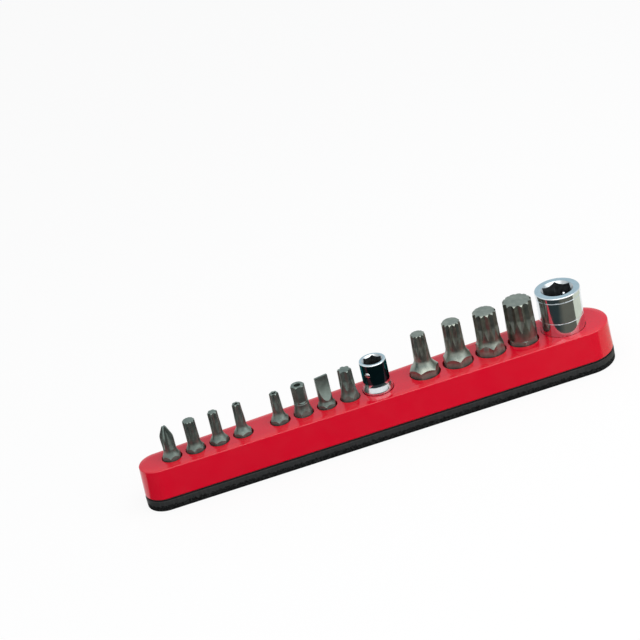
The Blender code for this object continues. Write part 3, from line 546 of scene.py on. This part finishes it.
def bit_surface(bit, flats, columns, worn):
    """Closed surface of one bit: the least of hexagon, turned blank and cuts.

    The grid's rows are shifted in every column so that they follow the edges
    where one of the three surfaces gives way to the next."""
    corner = flats / 2 / math.cos(math.pi / 6)
    turn = math.radians(bit.hexagon_turn)
    trim = math.acos(min(1, flats / 2 / (corner - worn)))
    edges = turn + np.pi / 6 + np.arange(6) * np.pi / 3
    even = np.linspace(0, 2 * np.pi, columns, endpoint=False)
    angle = merged_angles(math.radians(bit.blade_turn) + even, edges + trim, edges - trim)
    hexagon = np.minimum(flats / 2 / np.cos(np.pi / 6 - within(angle - turn, np.pi / 3)),
                         corner - worn)
    heights, radii = bit_profile(bit, corner)

    def blank(height):
        return np.interp(height, heights, radii)

    cut = bit_cut(bit, angle, blank)
    zero = np.zeros_like(angle)
    neck_top = bit.neck_end + bit.ledge
    end = bit.length - bit.chamfer
    full = min(bit.cut_full, end - LEAST_STEP)
    foot = last_height(lambda z: blank(z) < hexagon, zero, zero + FOOT_CHAMFER)
    scallop = last_height(lambda z: blank(z) > hexagon, zero + bit.corner_end,
                          zero + bit.neck_end)
    runout = last_height(lambda z: cut(z) > blank(z) + LEAST_CUT, zero + neck_top,
                         zero + bit.cut_full)
    runout = np.clip(runout, neck_top + LEAST_STEP, bit.cut_full - LEAST_STEP)
    tip = last_height(lambda z: cut(z) < blank(z), zero + end, zero + bit.length)
    breaks = [zero, np.maximum(foot, LEAST_STEP),
              np.minimum(scallop, bit.neck_end - LEAST_STEP), zero + bit.neck_end]
    if bit.ledge:
        breaks.append(zero + neck_top)
    breaks += [np.minimum(runout, full - LEAST_STEP), zero + full,
               np.clip(tip, end, bit.length - LEAST_STEP), zero + bit.length]
    bands = SHANK_BANDS + (LEDGE_BANDS if bit.ledge else [])
    bands += BLADE_BANDS.get(bit.section, OTHER_BLADE_BANDS)
    z = np.concatenate([low + (high - low) * np.linspace(0, 1, count, endpoint=False)[:, None]
                        for low, high, count in zip(breaks, breaks[1:], bands)]
                       + [breaks[-1][None]])
    r = np.minimum(blank(z), np.where(z <= bit.neck_end, hexagon, cut(z)))
    pole = bit.length
    if bit.bore:
        wall = np.array([(bit.bore + BORE_LIP, bit.length), (bit.bore, bit.length - BORE_LIP),
                         (bit.bore, bit.length - BORE_DEPTH)])
        bore_r, bore_z = wall.T[:, :, None] + zero
        r, z = np.concatenate((r, bore_r)), np.concatenate((z, bore_z))
        pole = bit.length - BORE_DEPTH - bit.bore / 2
    return on_axis(bit.node, r, z, angle, 0, pole)


def make_bits(context, bits, flats, columns, finish):
    worn = context.scene.bit_tray_sizes.hexagon_edge / MM
    for bit in bits:
        piece = make_piece(bit.node + "_surface",
                           [bit_surface(bit, flats, columns, worn)], finish)
        settle(piece, bit.node + "_tool", "bit_steel", bit.node)


class BITTRAY_OT_small_bits(bpy.types.Operator):
    """Make the eight bits on quarter-inch hexagon shanks"""
    bl_idname = "bittray.small_bits"
    bl_label = "Small bits"

    def execute(self, context):
        finish = steel_finish(context.scene.bit_tray_colours.small_steel, SMALL_METAL_SHARE)
        make_bits(context, SMALL_BITS, SMALL_HEXAGON, SMALL_BIT_COLUMNS, finish)
        return {"FINISHED"}


class BITTRAY_OT_large_bits(bpy.types.Operator):
    """Make the four twelve-point bits on ten-millimetre hexagon shanks"""
    bl_idname = "bittray.large_bits"
    bl_label = "Large bits"

    def execute(self, context):
        finish = steel_finish(context.scene.bit_tray_colours.steel, 1)
        make_bits(context, LARGE_BITS, LARGE_HEXAGON, LARGE_BIT_COLUMNS, finish)
        return {"FINISHED"}


# Holder and adapter
class Tool(NamedTuple):
    """Sizes of a turned tool in millimetres; heights count from its foot."""
    node: str
    turn: float
    length: float
    socket_flats: float
    socket_depth: float
    drive_side: float
    drive_depth: float
    rim_radius: float
    outside: list


FOOT_ROUND = 0.5


def rounded_foot(radius):
    """Rounded lower edge of a tool, as (radius, height) points upwards."""
    return [(radius, 0)] + arc((radius, FOOT_ROUND), FOOT_ROUND, -60, 0, 3)


def groove(radius, height, width, depth):
    """Shallow rounded ring groove, as (radius, height) points upwards."""
    share = np.linspace(-1, 1, 7)
    return [(radius - depth * (1 - s * s), height + width * s / 2) for s in share]


HOLDER = Tool(
    "holder_body", 13, 25.2, 6.7, 12, 6.5, 9, 0.35,
    rounded_foot(5.4) + [(5.9, 12.9), (5.89, 13.3), (5.83, 13.75), (5.34, 15.4),
                         (5.24, 15.8), (5.16, 16.4), (5.15, 16.8)])
HOLDER_WALL = (16.75, 24.9)
HOLDER_COLUMNS = 144
ADAPTER = Tool(
    "adapter_body", 17, 29.2, 10.5, 13, 9.675, 11, 0.35,
    rounded_foot(8.08) + groove(8.58, 18.2, 0.3, 0.07) + groove(8.58, 26.9, 0.3, 0.14)
    + [(8.78, 27.25)])
ADAPTER_COLUMNS = 180
DRIVE_CHAMFER = 0.4
DRIVE_BANDS = 2
MOUTH_BANDS = 2
SOCKET_BANDS = 3
OUTSIDE_SLOT, RECESS_SLOT, MOUTH_SLOT = range(3)


def worked_surface(tool, mouth, columns):
    """Closed surface of a holder or adapter, from the square recess's roof,
    down its walls, up the turned outside, over the rim and down the hexagon.

    Each ring is a radius for every column: a square, a circle, the larger of
    the mouth's cone and the hexagon, or the hexagon."""
    even = np.linspace(0, 2 * np.pi, columns, endpoint=False)
    angle = merged_angles(even, np.arange(6) * np.pi / 3,
                          np.pi / 4 + np.arange(4) * np.pi / 2)
    square = tool.drive_side / 2 / np.cos(within(angle, np.pi / 2))
    flats = tool.socket_flats / 2
    hexagon = flats / np.cos(np.pi / 6 - within(angle, np.pi / 3))
    wide = flats / math.cos(math.pi / 6) + mouth
    outer, edge = tool.outside[-1][0], tool.rim_radius
    circles = tool.outside + arc((outer - edge, tool.length - edge), edge, 0, 90, EDGE_STEPS)
    ones = np.ones_like(angle)
    rows = [(square, tool.drive_depth), (square, DRIVE_CHAMFER), (square + DRIVE_CHAMFER, 0)]
    rows += [(ones * radius, height) for radius, height in circles + [(wide, tool.length)]]
    crease = tool.length - (wide - hexagon)
    rows += [(wide + (hexagon - wide) * share, tool.length + (crease - tool.length) * share)
             for share in np.linspace(0, 1, MOUTH_BANDS + 1)[1:]]
    floor = tool.length - tool.socket_depth
    rows += [(hexagon, crease + (floor - crease) * share)
             for share in np.linspace(0, 1, SOCKET_BANDS + 1)[1:]]
    r = np.stack([radius for radius, _ in rows])
    z = np.stack([height * ones for _, height in rows])
    return on_axis(tool.node, r, z, angle + math.radians(tool.turn), tool.drive_depth, floor)


def make_tool(context, tool, columns, piece_name, finish):
    """Plated body whose recesses and mouth cone have finishes of their own.

    The recesses' faces are the fans at both poles, the first bands of quads
    and the last ones, in the order in which the surface is built, and the
    mouth cone's bands come just before the last ones."""
    mouth = context.scene.bit_tray_sizes.socket_mouth / MM
    plating = context.scene.bit_tray_colours.chrome
    surface = worked_surface(tool, mouth, columns)
    # The mouth finish is the plating darkened as painted shade on the mouth cone
    # The recess finish is the plating darkened as painted shade inside the sockets
    body = make_piece(piece_name, [surface], finish, shaded_recess_finish(plating),
                      shaded_mouth_finish(plating))
    quads, fan, _ = surface[1]
    around = len(fan)
    slots = np.full(len(body.data.polygons), RECESS_SLOT, dtype=np.int32)
    mouth_end = len(quads) - SOCKET_BANDS * around
    mouth_start = mouth_end - MOUTH_BANDS * around
    slots[DRIVE_BANDS * around:mouth_start] = OUTSIDE_SLOT
    slots[mouth_start:mouth_end] = MOUTH_SLOT
    body.data.polygons.foreach_set("material_index", slots)
    return body


def lay_radially(surface, node, bearing, height):
    """Turn an upright surface on its side, to point outwards from a tool's axis."""
    points, faces = surface
    x, y, foot_height = axis_of(node)
    spin = np.array(Matrix.Rotation(math.radians(bearing), 3, "Z")
                    @ Matrix.Rotation(math.pi / 2, 3, "Y"))
    return points @ spin.T + np.array((x, y, foot_height + height * MM)), faces


def turned_radially(profile, *place):
    """Surface of a (radius, reach) profile in millimetres, at a tool's side."""
    metres = [(radius * MM, reach * MM) for radius, reach in profile]
    return lay_radially(turned(metres, SIDE_COLUMNS), *place)


# The pin and its hole; a place is a tool, a bearing in degrees and a height
SIDE_COLUMNS = 48
PIN_PLACE = ("holder_body", -137, 21.0)
PIN_HOLE = (2.6, 8)
PIN_RADIUS = 1.1
PIN_GAP = 0.05
PIN_EDGE = 0.1
PIN_DOME = 0.5
PIN_DOME_STEPS = 8
PIN_START = 3.65
PIN_SINK = 0.15
HOLDER_RADIUS = 5.15


class BITTRAY_OT_holder(bpy.types.Operator):
    """Make the small bit holder and the domed pin in its side"""
    bl_idname = "bittray.holder"
    bl_label = "Bit holder"

    def execute(self, context):
        plating = context.scene.bit_tray_colours.chrome
        foot = axis_of("holder_body")[2]
        finish = holder_finish(plating, [foot + height * MM for height in HOLDER_WALL])
        body = make_tool(context, HOLDER, HOLDER_COLUMNS, "holder_surface", finish)
        hole = PIN_RADIUS + PIN_GAP
        start, end = PIN_HOLE
        profile = [(0, start), (hole, start), (hole, end), (0, end)]
        carve(body, [turned_radially(profile, *PIN_PLACE)])
        settle(body, "bit_holder", "tool_chrome", "holder_body")
        face = HOLDER_RADIUS - PIN_SINK
        profile = [(0, PIN_START), (PIN_RADIUS - PIN_EDGE, PIN_START),
                   (PIN_RADIUS, PIN_START + PIN_EDGE), (PIN_RADIUS, face)]
        angles = np.radians(np.linspace(0, 90, PIN_DOME_STEPS + 1))[1:]
        profile += [(PIN_RADIUS * math.cos(a), face + PIN_DOME * math.sin(a)) for a in angles]
        pin = make_piece("pin_surface", [turned_radially(profile, *PIN_PLACE)], pin_finish())
        settle(pin, "bit_holder", "pin_steel", "holder_pin")
        return {"FINISHED"}


# The ball, its bore and the coil behind it
BALL_BEARING = 47
BALL_HEIGHT = 23.8
BALL_PLACE = ("adapter_body", BALL_BEARING, BALL_HEIGHT)
BALL_RADIUS = 1.0
BALL_GAP = 0.15
BALL_REACH = 5.65
BALL_STEPS = 24
BALL_HOLE = (4, 8.08)
BALL_HOLE_CONE = 0.3
COIL_START = 6.72
COIL_END = 7.73
COIL_RADIUS = 0.62
COIL_TURNS = 3.0
COIL_STEPS = 120
WIRE_RADIUS = 0.06
WIRE_COLUMNS = 10


def coil():
    """Round wire carried along a helix about the vertical, closed at both ends.

    The helix climbs evenly from its start to its end, and the wire's circle
    stands across the helix's direction at every point."""
    share = np.linspace(0, 1, COIL_STEPS + 1)
    sweep = share * COIL_TURNS * 2 * np.pi
    low, high = COIL_START + WIRE_RADIUS, COIL_END - WIRE_RADIUS
    climb = (high - low) / (COIL_TURNS * 2 * np.pi)
    out = np.stack((np.cos(sweep), np.sin(sweep), np.zeros_like(sweep)), -1)
    along = np.stack((-np.sin(sweep) * COIL_RADIUS, np.cos(sweep) * COIL_RADIUS,
                      np.full_like(sweep, climb)), -1)
    along /= np.linalg.norm(along, axis=1, keepdims=True)
    across = np.cross(along, out)
    path = out * COIL_RADIUS + np.stack((0 * share, 0 * share, low + (high - low) * share), -1)
    angle = np.linspace(0, 2 * np.pi, WIRE_COLUMNS, endpoint=False)
    rings = (path[:, None] + WIRE_RADIUS * (np.cos(angle)[None, :, None] * out[:, None]
                                            - np.sin(angle)[None, :, None] * across[:, None]))
    return skin(rings * MM, path[0] * MM, path[-1] * MM)


class BITTRAY_OT_adapter(bpy.types.Operator):
    """Make the adapter, its detent ball and the coil spring behind the ball"""
    bl_idname = "bittray.adapter"
    bl_label = "Adapter"

    def execute(self, context):
        plating = context.scene.bit_tray_colours.chrome
        body = make_tool(context, ADAPTER, ADAPTER_COLUMNS, "adapter_surface",
                         chrome_finish(plating))
        hole = BALL_RADIUS + BALL_GAP
        start, end = BALL_HOLE
        profile = [(0, start), (hole, start), (hole, end - BALL_HOLE_CONE), (0, end)]
        carve(body, [turned_radially(profile, *BALL_PLACE)])
        settle(body, "adapter", "tool_chrome", "adapter_body")

        profile = arc((0, BALL_REACH), BALL_RADIUS, -90, 90, BALL_STEPS)
        ball = make_piece("ball_surface", [turned_radially(profile, *BALL_PLACE)],
                          ball_finish())
        settle(ball, "ball", "ball_steel", "adapter_ball")

        spring = make_piece("coil_spring", [lay_radially(coil(), *BALL_PLACE)],
                            spring_finish())
        settle(spring, "adapter", "spring_steel", "adapter_ball_spring")
        end = COIL_END * MM
        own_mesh(spring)
        return {"FINISHED"}


# Finishes
class Nodes:
    """Node tree under construction."""

    def __init__(self, tree):
        self.tree = tree

    def add(self, kind, inputs=None, **settings):
        node = self.tree.nodes.new("ShaderNode" + kind)
        for key, value in settings.items():
            setattr(node, key, value)
        for key, value in (inputs or {}).items():
            self.set_input(node.inputs[key], value)
        return node

    def set_input(self, socket, value):
        if isinstance(value, bpy.types.NodeSocket):
            self.tree.links.new(value, socket)
        else:
            socket.default_value = value

    def ranged(self, value, low=0.0, high=1.0, from_low=0.3, from_high=0.7):
        """Value taken from one range to another, and held within its ends."""
        return self.add("MapRange", {
            "Value": value, "From Min": from_low, "From Max": from_high,
            "To Min": low, "To Max": high}).outputs["Result"]

    def blend(self, factor, first, second):
        return self.add("Mix", {0: factor, 6: first, 7: second}, data_type="RGBA").outputs[2]

    def maths(self, kind, first, second):
        return self.add("Math", {0: first, 1: second}, operation=kind).outputs[0]

    def along(self, letter, vector):
        return self.add("SeparateXYZ", {"Vector": vector}).outputs[letter]

    def background_rays(self):
        """Factor that is 1 for camera, glossy and transmission rays."""
        path = self.add("LightPath")
        total = path.outputs["Is Camera Ray"]
        for name in ("Is Glossy Ray", "Is Transmission Ray"):
            total = self.maths("MAXIMUM", total, path.outputs[name])
        return total

    def show(self, output, factor, first, second):
        """Give a mix of two shader nodes to the tree's output node."""
        mix = self.add("MixShader", {0: factor, 1: first.outputs[0], 2: second.outputs[0]})
        self.set_input(self.tree.nodes[output].inputs["Surface"], mix.outputs[0])


class Finish(Nodes):
    """Node material under construction, read in Object coordinates."""

    def __init__(self, name):
        self.material = bpy.data.materials.new(name)
        self.material.use_nodes = True
        super().__init__(self.material.node_tree)
        self.shader = self.tree.nodes["Principled BSDF"]

    @cached_property
    def place(self):
        return self.add("TexCoord").outputs["Object"]

    def shade(self, **values):
        """Set the shader's inputs; an underscore in a name stands for a space."""
        for key, value in values.items():
            self.set_input(self.shader.inputs[key.replace("_", " ")], value)
        return self.material

    def stretched(self, scale):
        return self.add("Mapping", {"Vector": self.place, "Scale": scale}).outputs["Vector"]

    def noise(self, size, detail=3.0, roughness=0.5, vector=None):
        """Noise whose patches are about size metres across."""
        return self.add("TexNoise", {
            "Vector": vector or self.place, "Scale": 1 / size, "Detail": detail,
            "Roughness": roughness}).outputs["Fac"]

    def tones(self, mask, colour, low, high):
        """Colour between two tones of itself, as the mask says."""
        return self.blend(self.ranged(mask), tone(colour, low), tone(colour, high))

    def bump(self, height, distance, strength=1.0):
        return self.add("Bump", {"Height": height, "Distance": distance,
                                 "Strength": strength}).outputs["Normal"]


def tone(colour, factor):
    return tuple(min(1.0, channel * factor) for channel in colour[:3]) + (1.0,)


def plastic_finish(colour):
    """Glossy moulded plastic: faint flow marks, fine grain and handling smears."""
    finish = Finish("moulded_plastic")
    flow = finish.noise(30 * MM, 2, vector=finish.stretched((0.35, 1, 1)))
    smear = finish.noise(7 * MM, 4)
    grain = finish.noise(0.25 * MM, 2)
    return finish.shade(
        Base_Color=finish.tones(flow, colour, 0.96, 1.03),
        Roughness=finish.ranged(smear, 0.12, 0.2), IOR=1.52, Specular_IOR_Level=0.5,
        Normal=finish.bump(grain, 0.004 * MM, 0.5))


TORN_EDGE = (2.1 * MM, 2.3 * MM)
TORN_WAVER = 0.8 * MM


def rubber_finish(colour):
    """Flexible magnet: a smooth upper band and a torn, grainy lower band."""
    finish = Finish("flexible_magnet")
    waver = finish.ranged(finish.noise(1.3 * MM, 6, 0.75), -TORN_WAVER, TORN_WAVER)
    edge = finish.maths("ADD", finish.along("Z", finish.place), waver)
    smooth = finish.ranged(edge, 0, 1, *TORN_EDGE)
    grain = finish.noise(0.7 * MM, 4, 0.8)
    flecks = finish.ranged(grain, 0, 1, 0.48, 0.64)
    rough_tone = finish.blend(flecks, tone(colour, 0.15), tone(colour, 1.3))
    streaks = finish.noise(0.6 * MM, 2, vector=finish.stretched((1, 1, 0.12)))
    smooth_tone = finish.tones(streaks, colour, 0.85, 1.35)
    depth = finish.blend(smooth, grain, finish.ranged(streaks, 0.5, 0.56))
    return finish.shade(
        Base_Color=finish.blend(smooth, rough_tone, smooth_tone),
        Roughness=finish.ranged(smooth, 0.9, 0.55, 0, 1), IOR=1.5,
        Specular_IOR_Level=finish.ranged(smooth, 0.12, 0.3, 0, 1),
        Normal=finish.bump(depth, 0.25 * MM, 1))


def film_finish(colour):
    """Tacky film with faint cloudy patches."""
    finish = Finish("bonding_film")
    cloud = finish.noise(3 * MM, 3)
    return finish.shade(Base_Color=finish.tones(cloud, colour, 0.8, 1.2), Roughness=0.6,
                        Normal=finish.bump(cloud, 0.02 * MM, 0.5))


SHANK_DULL = (18.8 * MM, 20.4 * MM)
SHANK_ROUGHNESS = 0.58


def steel_finish(colour, metal_share):
    """Grey-green phosphate on turned and ground steel, duller down at the shank."""
    finish = Finish("phosphated_steel")
    cloud = finish.noise(1.6 * MM, 4, 0.6)
    grain = finish.noise(0.09 * MM, 3, 0.6)
    rings = finish.noise(0.22 * MM, 2, vector=finish.stretched((0.15, 0.15, 1)))
    base = finish.tones(cloud, colour, 0.8, 1.18)
    base = finish.blend(finish.ranged(grain, 0, 0.25), base, tone(colour, 0.55))
    dull = finish.ranged(finish.along("Z", finish.place), SHANK_ROUGHNESS, 0, *SHANK_DULL)
    return finish.shade(
        Base_Color=base, Metallic=metal_share,
        Roughness=finish.maths("MAXIMUM", dull, finish.ranged(cloud, 0.32, 0.42)),
        Normal=finish.bump(finish.blend(0.5, grain, rings), 0.012 * MM, 0.6))


def chrome_finish(colour):
    """Polished plating all over."""
    return plate(Finish("polished_plating"), tone(colour, 0.94), tone(colour, 1.04))


SMOKED_DULL = (0.042, 0.115, 0.13, 1)
SMOKED_BRIGHT = (0.056, 0.145, 0.162, 1)
SMOKED_EDGE = (0.22, 0.27, 0.27, 1)
SMOKED_FADE = 0.08 * MM


def holder_finish(colour, wall):
    """Polished plating with a smoked wall between two heights."""
    finish = Finish("smoked_plating")
    height = finish.along("Z", finish.place)
    above = finish.ranged(height, 0, 1, wall[0] - SMOKED_FADE, wall[0] + SMOKED_FADE)
    below = finish.ranged(height, 1, 0, wall[1] - SMOKED_FADE, wall[1] + SMOKED_FADE)
    smoked = finish.maths("MULTIPLY", above, below)
    finish.shade(Specular_Tint=finish.blend(smoked, WHITE, SMOKED_EDGE))
    return plate(finish, finish.blend(smoked, tone(colour, 0.94), SMOKED_DULL),
                 finish.blend(smoked, tone(colour, 1.04), SMOKED_BRIGHT))


def plate(finish, dull, bright):
    """Plating between two tones, with the faintest orange peel and turning marks."""
    peel = finish.noise(1.2 * MM, 2)
    rings = finish.noise(0.3 * MM, 2, vector=finish.stretched((0.1, 0.1, 1)))
    smear = finish.noise(2.5 * MM, 3)
    return finish.shade(
        Base_Color=finish.blend(finish.ranged(smear), dull, bright), Metallic=1.0,
        Roughness=finish.ranged(smear, 0.08, 0.13),
        Normal=finish.bump(finish.blend(0.3, peel, rings), 0.01 * MM, 0.35))


def shaded_mouth_finish(colour):
    """Ground mouth cone of a socket: plated but satin, and darker than the outside plating as
    painted shade on the cone.
    """
    finish = Finish("shaded_ground_mouth")
    smear = finish.noise(1.5 * MM, 3)
    return finish.shade(
        Base_Color=finish.tones(smear, colour, 0.58, 0.74), Metallic=1.0,
        Roughness=finish.ranged(smear, 0.28, 0.38),
        Normal=finish.bump(smear, 0.02 * MM, 0.5))


def shaded_recess_finish(colour):
    """Broached walls of a socket: duller than the plating, with fine score lines, and the
    plating's colour darkened to a third or so as painted shade inside the recess.
    """
    finish = Finish("shaded_broached_recess")
    score = finish.noise(0.2 * MM, 3, vector=finish.stretched((1, 1, 0.05)))
    smear = finish.noise(1.5 * MM, 3)
    return finish.shade(
        Base_Color=finish.tones(smear, colour, 0.3, 0.42), Metallic=1.0,
        Roughness=finish.ranged(smear, 0.32, 0.42),
        Normal=finish.bump(score, 0.01 * MM, 0.5))


def pin_finish():
    """Bright ground pin with fine scratches."""
    finish = Finish("ground_pin")
    scratch = finish.noise(0.15 * MM, 3, vector=finish.stretched((1, 1, 0.2)))
    base = finish.blend(finish.ranged(scratch), (0.58, 0.57, 0.56, 1), (0.74, 0.73, 0.72, 1))
    return finish.shade(Base_Color=base, Metallic=1.0, Roughness=0.2,
                        Normal=finish.bump(scratch, 0.004 * MM, 0.4))


def ball_finish():
    """Polished bearing ball with a faint haze."""
    finish = Finish("bearing_ball")
    haze = finish.noise(0.5 * MM, 3)
    base = finish.blend(finish.ranged(haze), (0.62, 0.63, 0.65, 1), (0.72, 0.73, 0.75, 1))
    return finish.shade(Base_Color=base, Metallic=1.0,
                        Roughness=finish.ranged(haze, 0.06, 0.14))


def spring_finish():
    """Drawn spring wire with dark oil in places."""
    finish = Finish("spring_wire")
    oil = finish.noise(0.3 * MM, 3)
    base = finish.blend(finish.ranged(oil), (0.3, 0.29, 0.27, 1), (0.5, 0.5, 0.49, 1))
    return finish.shade(Base_Color=base, Metallic=1.0, Roughness=0.3,
                        Normal=finish.bump(oil, 0.004 * MM, 0.4))


# Studio
CAMERA_PLACE = (-121.01 * MM, -598.27 * MM, 361.49 * MM)
CAMERA_AZIMUTH = 10.05
CAMERA_ELEVATION = 26.98
CAMERA_ROLL = -13.45
CAMERA_LENS = 104.48
CAMERA_CLIP = (0.01, 10)
SENSOR = 36.0
FLOOR_SIZE = 3.0
FLOOR_LEVEL = -0.05 * MM
FLOOR_GLOW_SHARE = 0.88
STAGE_ROUGHNESS = 0.9
WHITE = (1, 1, 1, 1)
ROOM_LIGHT = (0.97, 0.98, 1.0, 1)
ROOM_BLUE = (0.47, 0.62, 0.7, 1)
ROOM_BLUE_RISE = (0.2, 0.42)
ROOM_CEILING = (1.1, 1.1, 1.1, 1)
ROOM_CEILING_RISE = (0.5, 0.72)
# Cards seen only in gloss, for painted reflections: the dark one black to the left and brown to
# the right, where the adapter mirrors it, and the beige one for a painted pale reflection on
# the block's right end
DARK_REFLECTION_CARD = ((-0.2, -0.3), (0.2, -0.3), (0.2, -0.087), (0.085, -0.011), (0.07, 0),
             (0.034, 0), (0.034, 0.06), (0.006, 0.06), (0.006, 0), (-0.2, 0))
BEIGE_REFLECTION_CARD = ((0.2, -0.087), (0.2, 0.057), (0.083, -0.005), (0.085, -0.011))
CARD_CHANGE = (0.046, 0.07)
CARD_BLACK = (0.024, 0.036, 0.038, 1)
CARD_BROWN = (0.11, 0.11, 0.09, 1)
CARD_BEIGE = (0.6, 0.63, 0.52, 1)
REFLECTION_CARDS = (("dark_reflection_card", DARK_REFLECTION_CARD, CARD_BLACK, CARD_BROWN),
         ("beige_reflection_card", BEIGE_REFLECTION_CARD, CARD_BEIGE, CARD_BEIGE))
LIGHT_TARGET = (0, 0, 0.02)
KEY_PLACE = (0.36, -0.4, 0.27)
KEY_SIZE = (0.5, 0.4)
TOP_PLACE = (0.08, -0.17, 0.47)
TOP_SIZE = (0.8, 0.35)


def flat_piece(name, corners, level, material):
    """Level stage piece over an outline of (x, y) corners."""
    mesh = bpy.data.meshes.new(name)
    mesh.from_pydata([(x, y, level) for x, y in corners], [], [tuple(range(len(corners)))])
    mesh.materials.append(material)
    piece = link(name, mesh)
    return piece


def floor_material(colour):
    """Pale floor whose own white shows, with the object's shadow kept faint."""
    finish = Finish("studio_floor")
    finish.shade(Base_Color=(*colour, 1), Roughness=STAGE_ROUGHNESS, Specular_IOR_Level=0.0)
    share = finish.maths("MULTIPLY", finish.background_rays(), FLOOR_GLOW_SHARE)
    finish.show("Material Output", share, finish.shader, finish.add("Emission"))
    return finish.material


def reflection_card_material(name, first, second):
    """Matt card, seen only in reflections, that changes from one colour to another along the
    row: a painted reflection.
    """
    finish = Finish(name)
    change = finish.ranged(finish.along("X", finish.place), 0, 1, *CARD_CHANGE)
    return finish.shade(Base_Color=finish.blend(change, first, second),
                        Roughness=STAGE_ROUGHNESS, Specular_IOR_Level=0.0)


def make_world(ambient):
    """Even pale room: white to the camera, and in gloss pale blue higher up,
    with a white ceiling."""
    world = bpy.data.worlds.new("studio_room")
    bpy.context.scene.world = world
    world.use_nodes = True
    nodes = Nodes(world.node_tree)
    room = nodes.tree.nodes["Background"]
    nodes.set_input(room.inputs["Color"], ROOM_LIGHT)
    nodes.set_input(room.inputs["Strength"], ambient)
    height = nodes.along("Z", nodes.add("TexCoord").outputs["Generated"])
    gloss = nodes.add("LightPath").outputs["Is Glossy Ray"]
    in_gloss = nodes.maths("MULTIPLY", nodes.ranged(height, 0, 1, *ROOM_BLUE_RISE), gloss)
    ceiling = nodes.ranged(height, 0, 1, *ROOM_CEILING_RISE)
    upper = nodes.blend(ceiling, ROOM_BLUE, ROOM_CEILING)
    shown = nodes.add("Background", {"Color": nodes.blend(in_gloss, WHITE, upper)})
    nodes.show("World Output", nodes.background_rays(), room, shown)


def soft_box(name, place, width, height, radiance):
    """Area light with the given brightness, turned towards the object."""
    light = bpy.data.lights.new(name, "AREA")
    light.shape = "RECTANGLE"
    light.size, light.size_y = width, height
    light.energy = radiance * math.pi * width * height
    lamp = link(name, light)
    lamp.rotation_mode = "QUATERNION"
    lamp.rotation_quaternion = (Vector(LIGHT_TARGET) - Vector(place)).to_track_quat("-Z", "Y")
    lamp.location = place
    lamp.visible_camera = False


def make_camera():
    """Camera at the solved place, turned by azimuth, elevation and roll."""
    azimuth, elevation, roll = (math.radians(angle) for angle in (
        CAMERA_AZIMUTH, CAMERA_ELEVATION, CAMERA_ROLL))
    forward = Vector((math.sin(azimuth) * math.cos(elevation),
                      math.cos(azimuth) * math.cos(elevation), -math.sin(elevation)))
    level = forward.cross(Vector((0, 0, 1))).normalized()
    upright = level.cross(forward)
    right = math.cos(roll) * level + math.sin(roll) * upright
    data = bpy.data.cameras.new("camera")
    data.lens = CAMERA_LENS
    data.sensor_width = SENSOR
    data.clip_start, data.clip_end = CAMERA_CLIP
    camera = link("camera", data)
    turn = Matrix((right, right.cross(forward), -forward)).transposed().to_4x4()
    camera.matrix_world = Matrix.Translation(CAMERA_PLACE) @ turn
    bpy.context.scene.camera = camera


class BITTRAY_OT_studio(bpy.types.Operator):
    """Make the pale floor, the cards that paint reflections, the soft lights, the room and the
    camera
    """
    bl_idname = "bittray.studio"
    bl_label = "Studio"

    def execute(self, context):
        settings = context.scene.bit_tray_studio
        half = FLOOR_SIZE / 2
        square = ((-half, -half), (half, -half), (half, half), (-half, half))
        flat_piece("floor", square, FLOOR_LEVEL, floor_material(settings.floor))
        # Seen only in gloss, the cards paint reflections and cast no shadow or light
        for name, corners, first, second in REFLECTION_CARDS:
            card = flat_piece(name, corners, FLOOR_LEVEL / 2,
                              reflection_card_material(name, first, second))
            card.visible_camera = False
            card.visible_diffuse = False
            card.visible_shadow = False
            card.visible_transmission = False
        make_world(settings.ambient)
        soft_box("key_light", KEY_PLACE, *KEY_SIZE, settings.key_radiance)
        soft_box("top_light", TOP_PLACE, *TOP_SIZE, settings.top_radiance)
        context.scene.view_settings.view_transform = "Standard"
        make_camera()
        return {"FINISHED"}


# Registration
OPERATORS = (
    BITTRAY_OT_studio, BITTRAY_OT_block, BITTRAY_OT_magnet, BITTRAY_OT_film,
    BITTRAY_OT_small_bits, BITTRAY_OT_large_bits, BITTRAY_OT_holder, BITTRAY_OT_adapter)


class BITTRAY_PT_sidebar(bpy.types.Panel):
    """Sizes, colours and pieces of the bit tray"""
    bl_idname = "BITTRAY_PT_sidebar"
    bl_label = "Bit tray"
    bl_space_type = "VIEW_3D"
    bl_region_type = "UI"
    bl_category = "Bit tray"

    def draw(self, context):
        for group in (context.scene.bit_tray_sizes, context.scene.bit_tray_colours,
                      context.scene.bit_tray_studio):
            box = self.layout.box()
            for key in group.__annotations__:
                box.prop(group, key)
        for operator in OPERATORS:
            self.layout.operator(operator.bl_idname)


CLASSES = (TraySizes, TrayColours, StudioSettings) + OPERATORS + (BITTRAY_PT_sidebar,)


def register():
    for item in CLASSES:
        bpy.utils.register_class(item)
    bpy.types.Scene.bit_tray_sizes = bpy.props.PointerProperty(type=TraySizes)
    bpy.types.Scene.bit_tray_colours = bpy.props.PointerProperty(type=TrayColours)
    bpy.types.Scene.bit_tray_studio = bpy.props.PointerProperty(type=StudioSettings)


def unregister():
    for name in ("bit_tray_sizes", "bit_tray_colours", "bit_tray_studio"):
        delattr(bpy.types.Scene, name)
    for item in reversed(CLASSES):
        bpy.utils.unregister_class(item)


def main():
    register()
    for operator in OPERATORS:
        group, name = operator.bl_idname.split(".")
        getattr(getattr(bpy.ops, group), name)()


if __name__ == "__main__":
    main()
